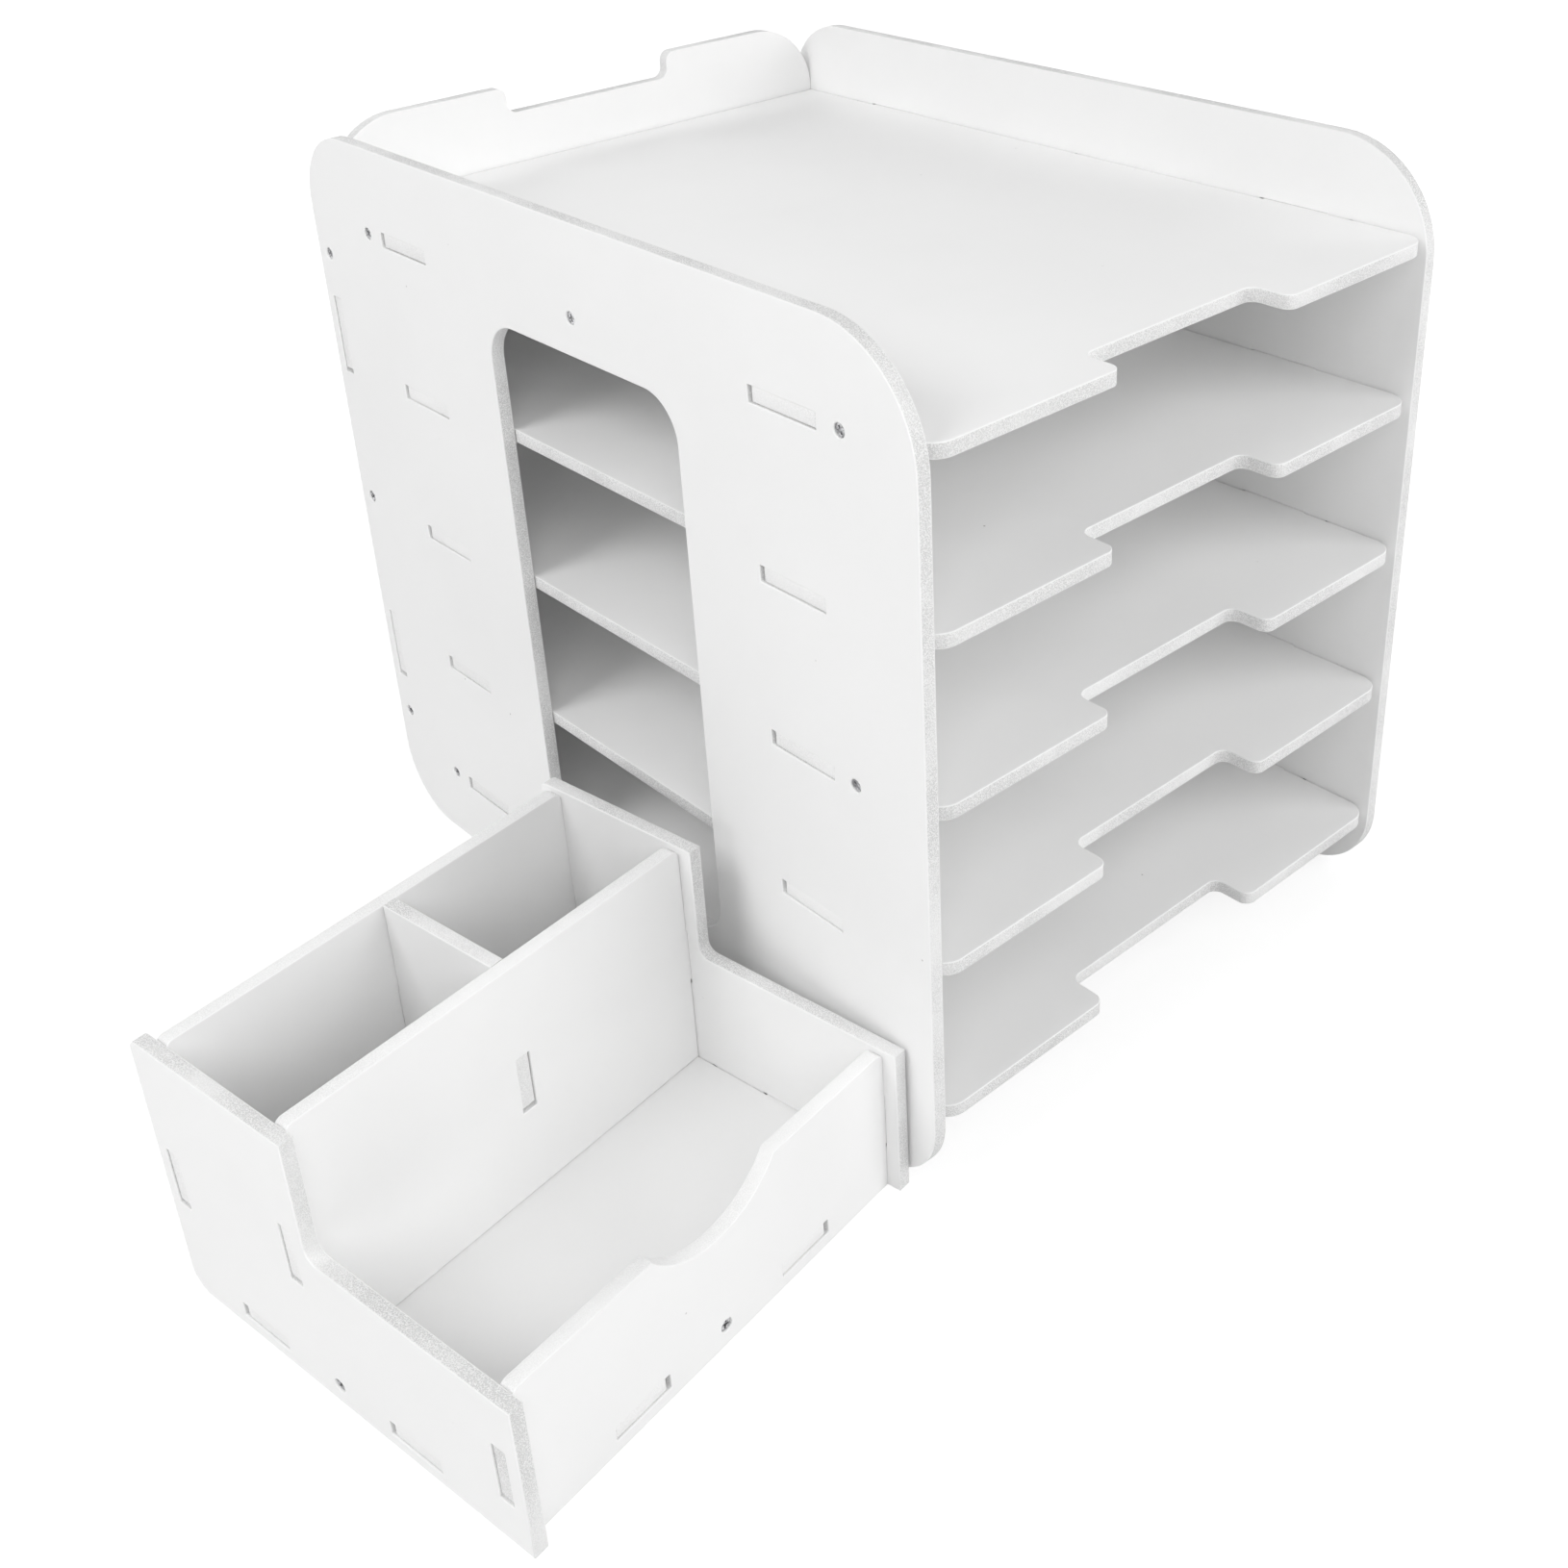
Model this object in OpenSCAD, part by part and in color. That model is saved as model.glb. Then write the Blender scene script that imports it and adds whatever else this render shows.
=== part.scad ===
/* [Board] */
// Thickness of the foam board that every panel is cut from
board_t = 5; // [4:0.5:6]
// Free width along one long side of a tab in its slot
slot_slack = 0.5; // [0.1:0.1:1]
// Free length at one end of a tab in its slot
slot_run = 1.5; // [0.5:0.25:3]
// Clearance on the tight sides of a tab
tab_fit = 0.05; // [0.02:0.01:0.2]
// How far a tab ends below the outer face of the board it passes through
tab_recess = 0.4; // [0:0.1:1]

/* [Rack] */
// Width over both side panels
rack_w = 238; // [210:1:300]
// Depth of the side panels
rack_d = 320; // [290:1:380]
// Height of the side panels and the back panel
rack_h = 290; // [236:1:360]
// Radius of the rear corners and the bottom front corner
panel_r = 28; // [10:1:36]
// Radius of the side panels' top front corner
front_top_r = 38; // [10:1:60]
// Distance from the back panel to the side panels' rear edges
back_inset = 5; // [2:0.5:12]

/* [Shelves] */
// Height of the bottom shelf's underside above the desk
bottom_clear = 28; // [12:1:32]
// Height from the top shelf's top face to the side panels' top edges
top_clear = 29; // [17:1:40]
// Radius of the shelves' front corners
shelf_r = 8; // [3:0.5:15]
// Width of the finger notch in a shelf's front edge
notch_w = 78; // [50:1:110]
// Depth of the finger notch
notch_d = 15; // [10:0.5:25]
// Radius of the finger notch's corners
notch_r = 4; // [1:0.5:4.5]
// Length of the tabs on a shelf's side edges
shelf_tab = 27.5; // [15:0.5:34]
// Distance from a shelf's front or rear edge to its nearest slot
shelf_tab_off = 39.5; // [36:0.5:50]

/* [Windows and back panel] */
// Width of the window in a side panel
window_w = 102; // [60:1:120]
// Radius of the window's corners
window_r = 15; // [5:1:25]
// Height from the window's top edge to the top shelf's underside
window_gap = 10.5; // [6:0.5:20]
// Height from the bottom shelf's underside to the window's low edge
sill_gap = 16.5; // [7:0.5:30]
// Width of the dip in the back panel's top edge
dip_w = 76; // [50:1:110]
// Depth of the dip in the back panel's top edge
dip_d = 10; // [9:0.5:16]
// Radius of the dip's corners
dip_r = 4; // [1:0.5:4.5]
// Length of the tabs on the back panel's side edges
back_tab = 28.5; // [15:0.5:34]
// Distance from the back panel's top or bottom edge to its nearest slot
back_tab_off = 63; // [56:1:70]

/* [Screws] */
// Diameter of a screw's head
head_d = 4.4; // [3.6:0.1:4.4]
// Height of a screw's head
head_h = 1.6; // [1.2:0.1:1.8]
// Depth of a screw's head below the board's face
head_sink = 0.6; // [0.2:0.1:1]
// Length of each arm pair of the cross in a screw's head
cross_l = 2.8; // [2:0.1:3.2]
// Width of the arms of the cross
cross_w = 0.7; // [0.5:0.1:1]
// Depth of the cross
cross_d = 0.8; // [0.5:0.1:1]
// Diameter of a screw's shank
shank_d = 2.4; // [1.6:0.1:2.6]
// Length of a screw's shank below its head
shank_l = 14; // [10:0.5:18]
// Length of the shank's pointed end
point_l = 3; // [1:0.5:5]
// Diameter left at the very point
point_d = 0.4; // [0.2:0.1:0.8]
// Clearance round a screw in its hole
screw_fit = 0.05; // [0.02:0.01:0.15]
// Distance from a shelf's front or rear edge to its nearest screw
shelf_screw_off = 30; // [15:1:32]
// Distance from the back panel's top or bottom edge to its nearest screw
back_screw_off = 46; // [40:1:52]

/* [Pen box] */
// Length of the box over its end panels
box_l = 162; // [140:1:200]
// Width of the end panels
box_w = 152; // [126:1:180]
// Height of the tall part of the end panels
box_h = 98; // [84:1:130]
// Height of the low part of the end panels
box_low_h = 56; // [48:1:66]
// Width of the low part of the end panels
step_w = 82; // [72:1:95]
// Radius of the step's inner corner
step_r = 4; // [1:0.5:8]
// Radius of the end panels' lower corner on the tall side
foot_r = 8; // [3:0.5:12]
// Radius of the other rounded corners of the end panels and the walls
soft_r = 3; // [1:0.5:4]
// Distance from the end panels' sides to the outer walls
wall_inset = 5; // [3:0.5:10]
// Distance from the step in the end panels to the middle wall
middle_off = 5; // [3:0.5:8]
// How far the divider stands past the middle of the box's length
divider_shift = 3.5; // [-15:0.5:15]
// Height of the floor's underside above the desk
floor_lift = 5; // [3:0.5:10]
// Height of the end panels' top edges above the walls' top edges
wall_drop = 0.5; // [0:0.1:2]
// Length of the box's tabs
box_tab = 20; // [10:1:22]
// How far the end panels' floor tabs and screw lie past the middle of the box's width
end_shift = 4; // [-5:0.5:6]
// Distance between the two floor tabs of an end panel, middle to middle
end_tab_gap = 68; // [50:1:76]
// Distance between the two floor tabs of a long wall, middle to middle
wall_tab_gap = 70; // [50:1:84]
// Width of the scoop in the low wall
scoop_w = 50; // [34:1:60]
// Depth of the scoop in the low wall
scoop_d = 13; // [8:0.5:16]

/* [Placing the pen box] */
// Angle by which the box stands turned against the rack
box_turn = 9; // [0:0.5:12]
// Gap between the rack and the nearest corner of the box
box_gap = 1; // [0.5:0.5:20]
// How far the box's nearest corner stands in front of the rack
box_forward = 14; // [0:1:40]

/* [Hidden] */
$fn = 64;
// Overrun of every cut past the faces that it passes
over = 1;
// Free depth past a screw's point
point_room = 0.5;

board_white = [0.93, 0.93, 0.92];
screw_grey = [0.45, 0.46, 0.48];

// Rack, from the left panel's outer face, the front edges and the desk
inner_w = rack_w - 2 * board_t;
shelf_d = rack_d - back_inset - board_t;
tab_l = board_t - tab_recess;
slot_l = shelf_tab + slot_run;
shelf_tabs = [shelf_tab_off, shelf_d - shelf_tab_off - slot_l];
back_tabs = [back_tab_off + slot_run, rack_h - back_tab_off - back_tab];
shelf_rise = rack_h - bottom_clear - top_clear - board_t;
bottom_share = 0;
lower_share = 0.25;
middle_share = 0.5;
upper_share = 0.75;
top_share = 1;
shelf_shares = [bottom_share, lower_share, middle_share, upper_share, top_share];
window_y = (shelf_d - window_w) / 2;
window_z = bottom_clear + sill_gap;
window_h = shelf_rise - sill_gap - window_gap;

// Screws along the depth of the shelves and along the height of the back panel
rear_screw = shelf_d - shelf_screw_off;
top_screws = [shelf_screw_off, shelf_d / 2, rear_screw];
middle_screws = [shelf_screw_off];
bottom_screws = [shelf_screw_off, rear_screw];
back_screws = [back_screw_off, rack_h / 2, rack_h - back_screw_off];
head_end = head_sink + head_h;
hole_end = head_end + shank_l + point_room;

// Pen box, from its outer front corner, along its length, its width and up
wall_l = box_l - 2 * board_t;
wall_top = box_h - wall_drop;
low_top = box_low_h - wall_drop;
floor_top = floor_lift + board_t;
floor_mid = floor_lift + board_t / 2;
middle_y = step_w + middle_off;
divider_y = middle_y + board_t;
tall_y = box_w - wall_inset - board_t;
floor_y = wall_inset + board_t;
box_mid = box_l / 2;
divider_x = box_mid - board_t / 2 + divider_shift;
end_tab_mid = box_w / 2 + end_shift;
tall_tab_z = (wall_top - box_tab) / 2;
low_tab_z = (low_top - box_tab) / 2;
inner_tab_z = (floor_top + wall_top - box_tab) / 2;
end_tabs = [end_tab_mid - (end_tab_gap + box_tab) / 2, end_tab_mid + (end_tab_gap - box_tab) / 2];
wall_tabs = [box_mid - (wall_tab_gap + box_tab) / 2, box_mid + (wall_tab_gap - box_tab) / 2];
scoop_r = (pow(scoop_w / 2, 2) + pow(scoop_d, 2)) / (2 * scoop_d);

// Place of the box's outer front corner, and the middle of the whole part's footprint
box_x = -box_gap - box_l * cos(box_turn);
left_reach = box_x - box_w * sin(box_turn);
origin_x = (left_reach + rack_w) / 2;
origin_y = (rack_d - box_forward) / 2;

// Points of one corner of an outline: one if it is sharp, two if it is round
function corner(x, y, ax, ay, bx, by, r) =
    r > 0 ? [[x + ax * r, y + ay * r], [x + bx * r, y + by * r]] : [[x, y]];

// Flat plate with a radius of its own at each corner, named by left or right and low or high
module plate(w, h, t, low_left, low_right, high_right, high_left) {
    union() {
        linear_extrude(t) polygon(concat(
            corner(0, 0, 0, 1, 1, 0, low_left),
            corner(w, 0, -1, 0, 0, 1, low_right),
            corner(w, h, 0, -1, -1, 0, high_right),
            corner(0, h, 1, 0, 0, -1, high_left)
        ));
        if (low_left > 0) translate([low_left, low_left, 0]) cylinder(r = low_left, h = t);
        if (low_right > 0) translate([w - low_right, low_right, 0]) cylinder(r = low_right, h = t);
        if (high_right > 0) translate([w - high_right, h - high_right, 0]) cylinder(r = high_right, h = t);
        if (high_left > 0) translate([high_left, h - high_left, 0]) cylinder(r = high_left, h = t);
    }
}

// Stands a flat plate upright: its width along Y, its height up, its thickness along X
module across_x() {
    rotate([90, 0, 90]) children();
}

// Stands a flat plate upright: its width along X, its height up, its thickness along Y
module across_y() {
    translate([0, board_t, 0]) rotate([90, 0, 0]) children();
}

// Cutter for a notch in the edge y = 0 of a flat plate, round inside and at its lips
module notch(w, d, r) {
    translate([-w / 2, -over, -over]) plate(w, d + over, board_t + 2 * over, 0, 0, r, r);
    for (side = [0, 1]) mirror([side, 0, 0]) translate([w / 2, 0, -over]) difference() {
        translate([-over, -over, 0]) cube([r + over, r + over, board_t + 2 * over]);
        translate([r, r, -over]) cylinder(r = r, h = board_t + 4 * over);
    }
}

// Cutter for a lying tab's slot through a board across X, from the tab's low corner
module slot_x_lying(length) {
    translate([-over, -tab_fit, -slot_slack])
        cube([board_t + 2 * over, length + tab_fit + slot_run, board_t + slot_slack + tab_fit]);
}

// Cutter for an upright tab's slot through a board across X, from the tab's low corner
module slot_x_upright(length) {
    translate([-over, -tab_fit, -slot_run])
        cube([board_t + 2 * over, board_t + tab_fit + slot_slack, length + slot_run + tab_fit]);
}

// Cutter for a lying tab's slot through a board across Y, from the tab's low corner
module slot_y_lying(length) {
    translate([-tab_fit, -over, -slot_slack])
        cube([length + tab_fit + slot_run, board_t + 2 * over, board_t + slot_slack + tab_fit]);
}

// Cutter for an upright tab's slot through a board across Y, from the tab's low corner
module slot_y_upright(length) {
    translate([-tab_fit, -over, -slot_run])
        cube([board_t + tab_fit + slot_slack, board_t + 2 * over, length + slot_run + tab_fit]);
}

// Screw along Z, driven in from the board's face at z = 0
module screw() {
    difference() {
        union() {
            translate([0, 0, head_sink]) cylinder(d = head_d, h = head_h);
            translate([0, 0, head_end]) cylinder(d = shank_d, h = shank_l - point_l);
            translate([0, 0, head_end + shank_l - point_l])
                cylinder(d1 = shank_d, d2 = point_d, h = point_l);
        }
        translate([-cross_l / 2, -cross_w / 2, 0]) cube([cross_l, cross_w, head_sink + cross_d]);
        translate([-cross_w / 2, -cross_l / 2, 0]) cube([cross_w, cross_l, head_sink + cross_d]);
    }
}

// Hole of a screw through one board and into the edge of the next
module screw_hole() {
    translate([0, 0, -over]) cylinder(d = head_d + 2 * screw_fit, h = head_end + over);
    translate([0, 0, -over]) cylinder(d = shank_d + 2 * screw_fit, h = hole_end + over);
}

// Places of the screws on the rack's left side, heads outwards
module left_screw_places(share, depths) {
    for (depth = depths) translate([0, depth, bottom_clear + share * shelf_rise + board_t / 2])
        rotate([0, 90, 0]) children();
}

module left_shelf_places() {
    left_screw_places(top_share, top_screws) children();
    left_screw_places(middle_share, middle_screws) children();
    left_screw_places(bottom_share, bottom_screws) children();
}

module left_back_places() {
    for (height = back_screws) translate([0, shelf_d + board_t / 2, height])
        rotate([0, 90, 0]) children();
}

// Turns what is drawn for the left side into the right side
module right_side() {
    translate([rack_w, 0, 0]) mirror([1, 0, 0]) children();
}

// Moves a piece of the rack into the frame of the whole part
module rack_place() {
    translate([-origin_x, -origin_y, 0]) children();
}

// Moves a piece of the box into the frame of the whole part
module box_place() {
    translate([box_x - origin_x, -box_forward - origin_y, 0]) rotate([0, 0, box_turn]) children();
}

// Side panel with its window, its slots and its screw holes, as it stands on the left
module side_panel() {
    difference() {
        across_x() plate(rack_d, rack_h, board_t, panel_r, panel_r, panel_r, front_top_r);
        translate([-over, window_y, window_z]) across_x()
            plate(window_w, window_h, board_t + 2 * over, window_r, window_r, window_r, window_r);
        for (share = shelf_shares) for (tab_y = shelf_tabs)
            translate([0, tab_y, bottom_clear + share * shelf_rise]) slot_x_lying(shelf_tab);
        for (tab_z = back_tabs) translate([0, shelf_d, tab_z]) slot_x_upright(back_tab);
        left_shelf_places() screw_hole();
        left_back_places() screw_hole();
    }
}

module left_side_panel() {
    color(board_white) rack_place() side_panel();
}

module right_side_panel() {
    color(board_white) rack_place() right_side() side_panel();
}

// Back panel between the side panels, with a dip in its top edge and tabs on its sides
module back_panel() {
    color(board_white) rack_place() difference() {
        union() {
            translate([board_t, shelf_d, 0]) across_y()
                plate(inner_w, rack_h, board_t, panel_r, panel_r, panel_r, panel_r);
            for (tab_z = back_tabs) translate([tab_recess, shelf_d, tab_z])
                cube([inner_w + 2 * tab_l, board_t, back_tab]);
        }
        translate([rack_w / 2, shelf_d, rack_h]) across_y() mirror([0, 1, 0]) notch(dip_w, dip_d, dip_r);
        left_back_places() screw_hole();
        right_side() left_back_places() screw_hole();
    }
}

// Shelf with its finger notch, its tabs and the bores for its screws
module shelf(share, depths) {
    color(board_white) rack_place() difference() {
        translate([0, 0, bottom_clear + share * shelf_rise]) difference() {
            union() {
                translate([board_t, 0, 0]) plate(inner_w, shelf_d, board_t, shelf_r, shelf_r, 0, 0);
                for (tab_y = shelf_tabs) translate([tab_recess, tab_y, 0])
                    cube([inner_w + 2 * tab_l, shelf_tab, board_t]);
            }
            translate([rack_w / 2, 0, 0]) notch(notch_w, notch_d, notch_r);
        }
        left_screw_places(share, depths) screw_hole();
        right_side() left_screw_places(share, depths) screw_hole();
    }
}

module top_shelf() {
    shelf(top_share, top_screws);
}

module upper_shelf() {
    shelf(upper_share, []);
}

module middle_shelf() {
    shelf(middle_share, middle_screws);
}

module lower_shelf() {
    shelf(lower_share, []);
}

module bottom_shelf() {
    shelf(bottom_share, bottom_screws);
}

module left_shelf_screws() {
    color(screw_grey) rack_place() left_shelf_places() screw();
}

module right_shelf_screws() {
    color(screw_grey) rack_place() right_side() left_shelf_places() screw();
}

module left_back_screws() {
    color(screw_grey) rack_place() left_back_places() screw();
}

module right_back_screws() {
    color(screw_grey) rack_place() right_side() left_back_places() screw();
}

// Places of the screw in the outer end panel and of the one in the inner end panel
module outer_end_place() {
    translate([0, end_tab_mid, floor_mid]) rotate([0, 90, 0]) children();
}

module inner_end_place() {
    translate([box_l, 0, 0]) mirror([1, 0, 0]) outer_end_place() children();
}

// Places of the screw in the low wall and of the one in the tall wall
module low_wall_place() {
    translate([box_mid, wall_inset, floor_mid]) rotate([-90, 0, 0]) children();
}

module tall_wall_place() {
    translate([box_mid, tall_y + board_t, floor_mid]) rotate([90, 0, 0]) children();
}

// Stepped end panel of the box, as it stands at the outer end
module end_panel() {
    difference() {
        across_x() plate(box_w, box_h, board_t, 0, foot_r, soft_r, 0);
        translate([-over, -over, box_low_h]) across_x()
            plate(step_w + over, box_h, board_t + 2 * over, 0, step_r, 0, 0);
        translate([0, wall_inset, low_tab_z]) slot_x_upright(box_tab);
        translate([0, middle_y, inner_tab_z]) slot_x_upright(box_tab);
        translate([0, tall_y, tall_tab_z]) slot_x_upright(box_tab);
        for (tab_y = end_tabs) translate([0, tab_y, floor_lift]) slot_x_lying(box_tab);
        outer_end_place() screw_hole();
    }
}

module box_outer_end() {
    color(board_white) box_place() end_panel();
}

module box_inner_end() {
    color(board_white) box_place() translate([box_l, 0, 0]) mirror([1, 0, 0]) end_panel();
}

// Wall along the box from one height to another, with a tab at each end
module long_wall(y, low_z, high_z, tab_z) {
    translate([0, y, 0]) {
        translate([board_t, 0, low_z]) across_y()
            plate(wall_l, high_z - low_z, board_t, 0, 0, soft_r, soft_r);
        translate([tab_recess, 0, tab_z]) cube([wall_l + 2 * tab_l, board_t, box_tab]);
    }
}

module box_tall_wall() {
    color(board_white) box_place() difference() {
        long_wall(tall_y, 0, wall_top, tall_tab_z);
        for (tab_x = wall_tabs) translate([tab_x, tall_y, floor_lift]) slot_y_lying(box_tab);
        translate([divider_x, tall_y, inner_tab_z]) slot_y_upright(box_tab);
        tall_wall_place() screw_hole();
    }
}

module box_middle_wall() {
    color(board_white) box_place() difference() {
        long_wall(middle_y, floor_top, wall_top, inner_tab_z);
        translate([divider_x, middle_y, inner_tab_z]) slot_y_upright(box_tab);
    }
}

module box_low_wall() {
    color(board_white) box_place() difference() {
        long_wall(wall_inset, 0, low_top, low_tab_z);
        for (tab_x = wall_tabs) translate([tab_x, wall_inset, floor_lift]) slot_y_lying(box_tab);
        translate([box_mid, floor_y + over, low_top - scoop_d + scoop_r]) rotate([90, 0, 0])
            cylinder(r = scoop_r, h = board_t + 2 * over);
        low_wall_place() screw_hole();
    }
}

// Cross board between the tall wall and the middle wall, with a tab into each
module box_divider() {
    color(board_white) box_place() translate([divider_x, 0, 0]) union() {
        translate([0, divider_y, floor_top])
            cube([board_t, tall_y - divider_y, wall_top - floor_top]);
        translate([0, middle_y + tab_recess, inner_tab_z])
            cube([board_t, tall_y - middle_y + board_t - 2 * tab_recess, box_tab]);
    }
}

// Floor between the end panels and the outer walls, with two tabs on every side
module box_floor() {
    color(board_white) box_place() difference() {
        translate([0, 0, floor_lift]) union() {
            translate([board_t, floor_y, 0]) cube([wall_l, tall_y - floor_y, board_t]);
            for (tab_y = end_tabs) translate([tab_recess, tab_y, 0])
                cube([wall_l + 2 * tab_l, box_tab, board_t]);
            for (tab_x = wall_tabs) translate([tab_x, wall_inset + tab_recess, 0])
                cube([box_tab, tall_y - floor_y + 2 * tab_l, board_t]);
        }
        outer_end_place() screw_hole();
        inner_end_place() screw_hole();
        low_wall_place() screw_hole();
        tall_wall_place() screw_hole();
    }
}

module box_end_screws() {
    color(screw_grey) box_place() {
        outer_end_place() screw();
        inner_end_place() screw();
    }
}

module box_wall_screws() {
    color(screw_grey) box_place() {
        low_wall_place() screw();
        tall_wall_place() screw();
    }
}

left_side_panel();
right_side_panel();
back_panel();
top_shelf();
upper_shelf();
middle_shelf();
lower_shelf();
bottom_shelf();
left_shelf_screws();
right_shelf_screws();
left_back_screws();
right_back_screws();
box_outer_end();
box_inner_end();
box_tall_wall();
box_middle_wall();
box_low_wall();
box_divider();
box_floor();
box_end_screws();
box_wall_screws();
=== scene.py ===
"""Letter rack with a pen box, cut from white foam board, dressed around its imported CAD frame."""

import math

import bpy
import numpy as np
from bpy.props import FloatProperty, FloatVectorProperty, IntProperty, PointerProperty
from mathutils import Matrix, Vector
from mathutils.geometry import delaunay_2d_cdt


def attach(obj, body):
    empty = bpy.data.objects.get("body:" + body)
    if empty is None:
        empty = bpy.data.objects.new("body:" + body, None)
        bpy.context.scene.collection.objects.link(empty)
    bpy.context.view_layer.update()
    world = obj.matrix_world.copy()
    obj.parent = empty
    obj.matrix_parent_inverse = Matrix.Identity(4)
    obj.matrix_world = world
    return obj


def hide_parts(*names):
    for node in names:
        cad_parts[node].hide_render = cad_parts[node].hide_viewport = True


bl_info = {
    "name": "Foam Board Letter Rack",
    "version": (1, 0, 0),
    "blender": (4, 5, 0),
    "location": "3D View > Sidebar > Letter Rack",
    "description": "Boards, screws and studio of a letter rack with a pen box",
    "category": "Object",
}

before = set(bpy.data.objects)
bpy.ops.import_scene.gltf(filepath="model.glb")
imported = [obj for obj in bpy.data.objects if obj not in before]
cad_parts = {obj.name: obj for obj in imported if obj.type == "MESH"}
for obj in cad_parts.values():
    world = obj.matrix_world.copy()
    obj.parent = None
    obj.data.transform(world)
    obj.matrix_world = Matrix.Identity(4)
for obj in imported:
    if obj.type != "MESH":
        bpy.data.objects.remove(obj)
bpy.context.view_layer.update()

RACK, BOX = "rack", "pen_box"
# Boards whose tab ends show their cells as open as any cut edge
RAW_TAB_NODES = ("box_low_wall", "box_divider")
# Boards that were cut so cleanly that few of the cells along their edges stand open
CLEAN_CUT_NODES = ("box_tall_wall", "box_middle_wall", "box_low_wall")
SHELF_NODES = ("bottom_shelf", "lower_shelf", "middle_shelf", "upper_shelf", "top_shelf")
MILLIMETRE = 0.001
SHARP_ANGLE = math.radians(50)
# Facets of round shapes
ARC_STEP = math.radians(6)
SMALL_ARC_STEPS = 4
HOLE_STEPS = 40
SCREW_STEPS = 32
SCOOP_POINTS = 25
RIM_ANGLES = (0, 45, 90)
# Distances below which points count as the same, in metres
SAME_PLACE = 1e-7
CAP_TOLERANCE = 1e-9
# Outer width, in rims, of the band that keeps a board's face flat up to its rim
FLAT_BAND = 1.5
# Tone of the darker patches on the smooth faces, and of the screws' darker and brighter ones
FACE_SHADE = 0.975
SCREW_SHADES = (0.6, 1.5)
# Roughness from the shiniest to the dullest places, and strength of the plain reflections
FACE_ROUGHNESS = (0.54, 0.64)
CUT_ROUGHNESS = (0.6, 0.92)
SCREW_ROUGHNESS = (0.32, 0.5)
FACE_SPECULAR = 0.18
CUT_SPECULAR = 0.25
# How far the cells show where the cut is cleanest and where it is most torn
TORN_SHARES = (0.3, 1.5)
# Share of the half thickness over which the cells give way to the skin
SKIN_FADE = 0.12
# Values between which the mottle changes from its darkest to its brightest
MOTTLE_SPAN = (0.3, 0.7)
# Spacing of the nodes in a tree, to the right and down
NODE_STEP = (190, -170)
# Numbers of the sockets that can't be asked for by a name of their own
MIX_COLOURS, MIX_RESULT = (6, 7), 2
RANDOM_MAX, RANDOM_VALUE = 3, 1
# Half the width of the studio's floor, and how far from the middle it turns to plain white
FLOOR_HALF = 3.0
FLOOR_WHITENS = (0.3, 1.0)
# The floor's brightness, its brightness to the camera, and the plain white added to that near and far away
FLOOR_GREY, SEEN_GREY = 0.8, 0.35
FLOOR_LIFTS = (0.76, 1.0)
# Each lamp's name, the studio value that holds its power, its place and its diameter
LAMPS = (
    ("key_lamp", "key", (-1.1, 0.1, 1.2), 0.8),
    ("side_lamp", "side", (-1.4, -0.1, 0.22), 0.4),
    ("fill_lamp", "fill", (0.75, -1.35, 0.7), 1.2),
    ("near_lamp", "near", (-0.6, -0.95, 0.95), 0.9),
    ("right_lamp", "right", (1.4, 0.0, 0.6), 1.0),
    ("back_lamp", "back", (0.1, 1.3, 0.9), 1.0),
)
LAMPS_AIM = Vector((0, 0, 0.13))
CAMERA_TURN = tuple(math.radians(degrees) for degrees in (62.2865, 1.6219, -43.3037))
SENSOR_WIDTH = 36.0
CLIP_START = 0.01


def length(name, description, millimetres):
    return FloatProperty(name=name, description=description, default=millimetres * MILLIMETRE,
                         unit="LENGTH", subtype="DISTANCE", precision=5, min=0.0)


def turn(name, description, degrees):
    return FloatProperty(name=name, description=description, default=math.radians(degrees),
                         unit="ROTATION", subtype="ANGLE")


def colour(name, description, value):
    return FloatVectorProperty(name=name, description=description, default=value,
                               subtype="COLOR", size=3, min=0.0, max=1.0)


def amount(name, description, value, low=0.0, high=1.0):
    return FloatProperty(name=name, description=description, default=value, min=low, max=high)


# Sizes, the same ones as the solids have, with fine seams added

class BoardSizes(bpy.types.PropertyGroup):
    """The foam board and how its tabs sit in their slots"""
    thickness: length("Thickness", "Thickness of the foam board", 5)
    rim: length("Rim", "Rounding along every cut edge of a board", 0.28)
    slot_slack: length("Slot Slack", "Free width along one long side of a tab", 0.5)
    slot_run: length("Slot Run", "Free length at one end of a tab", 1.5)
    tab_fit: length("Tab Fit", "Clearance on the tight sides of a tab", 0.05)
    tab_recess: length("Tab Recess", "How far a tab ends below the outer face", 0.4)
    cutter_r: length("Cutter Radius", "Radius that the cutter leaves in a slot's corners", 0.45)


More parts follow.
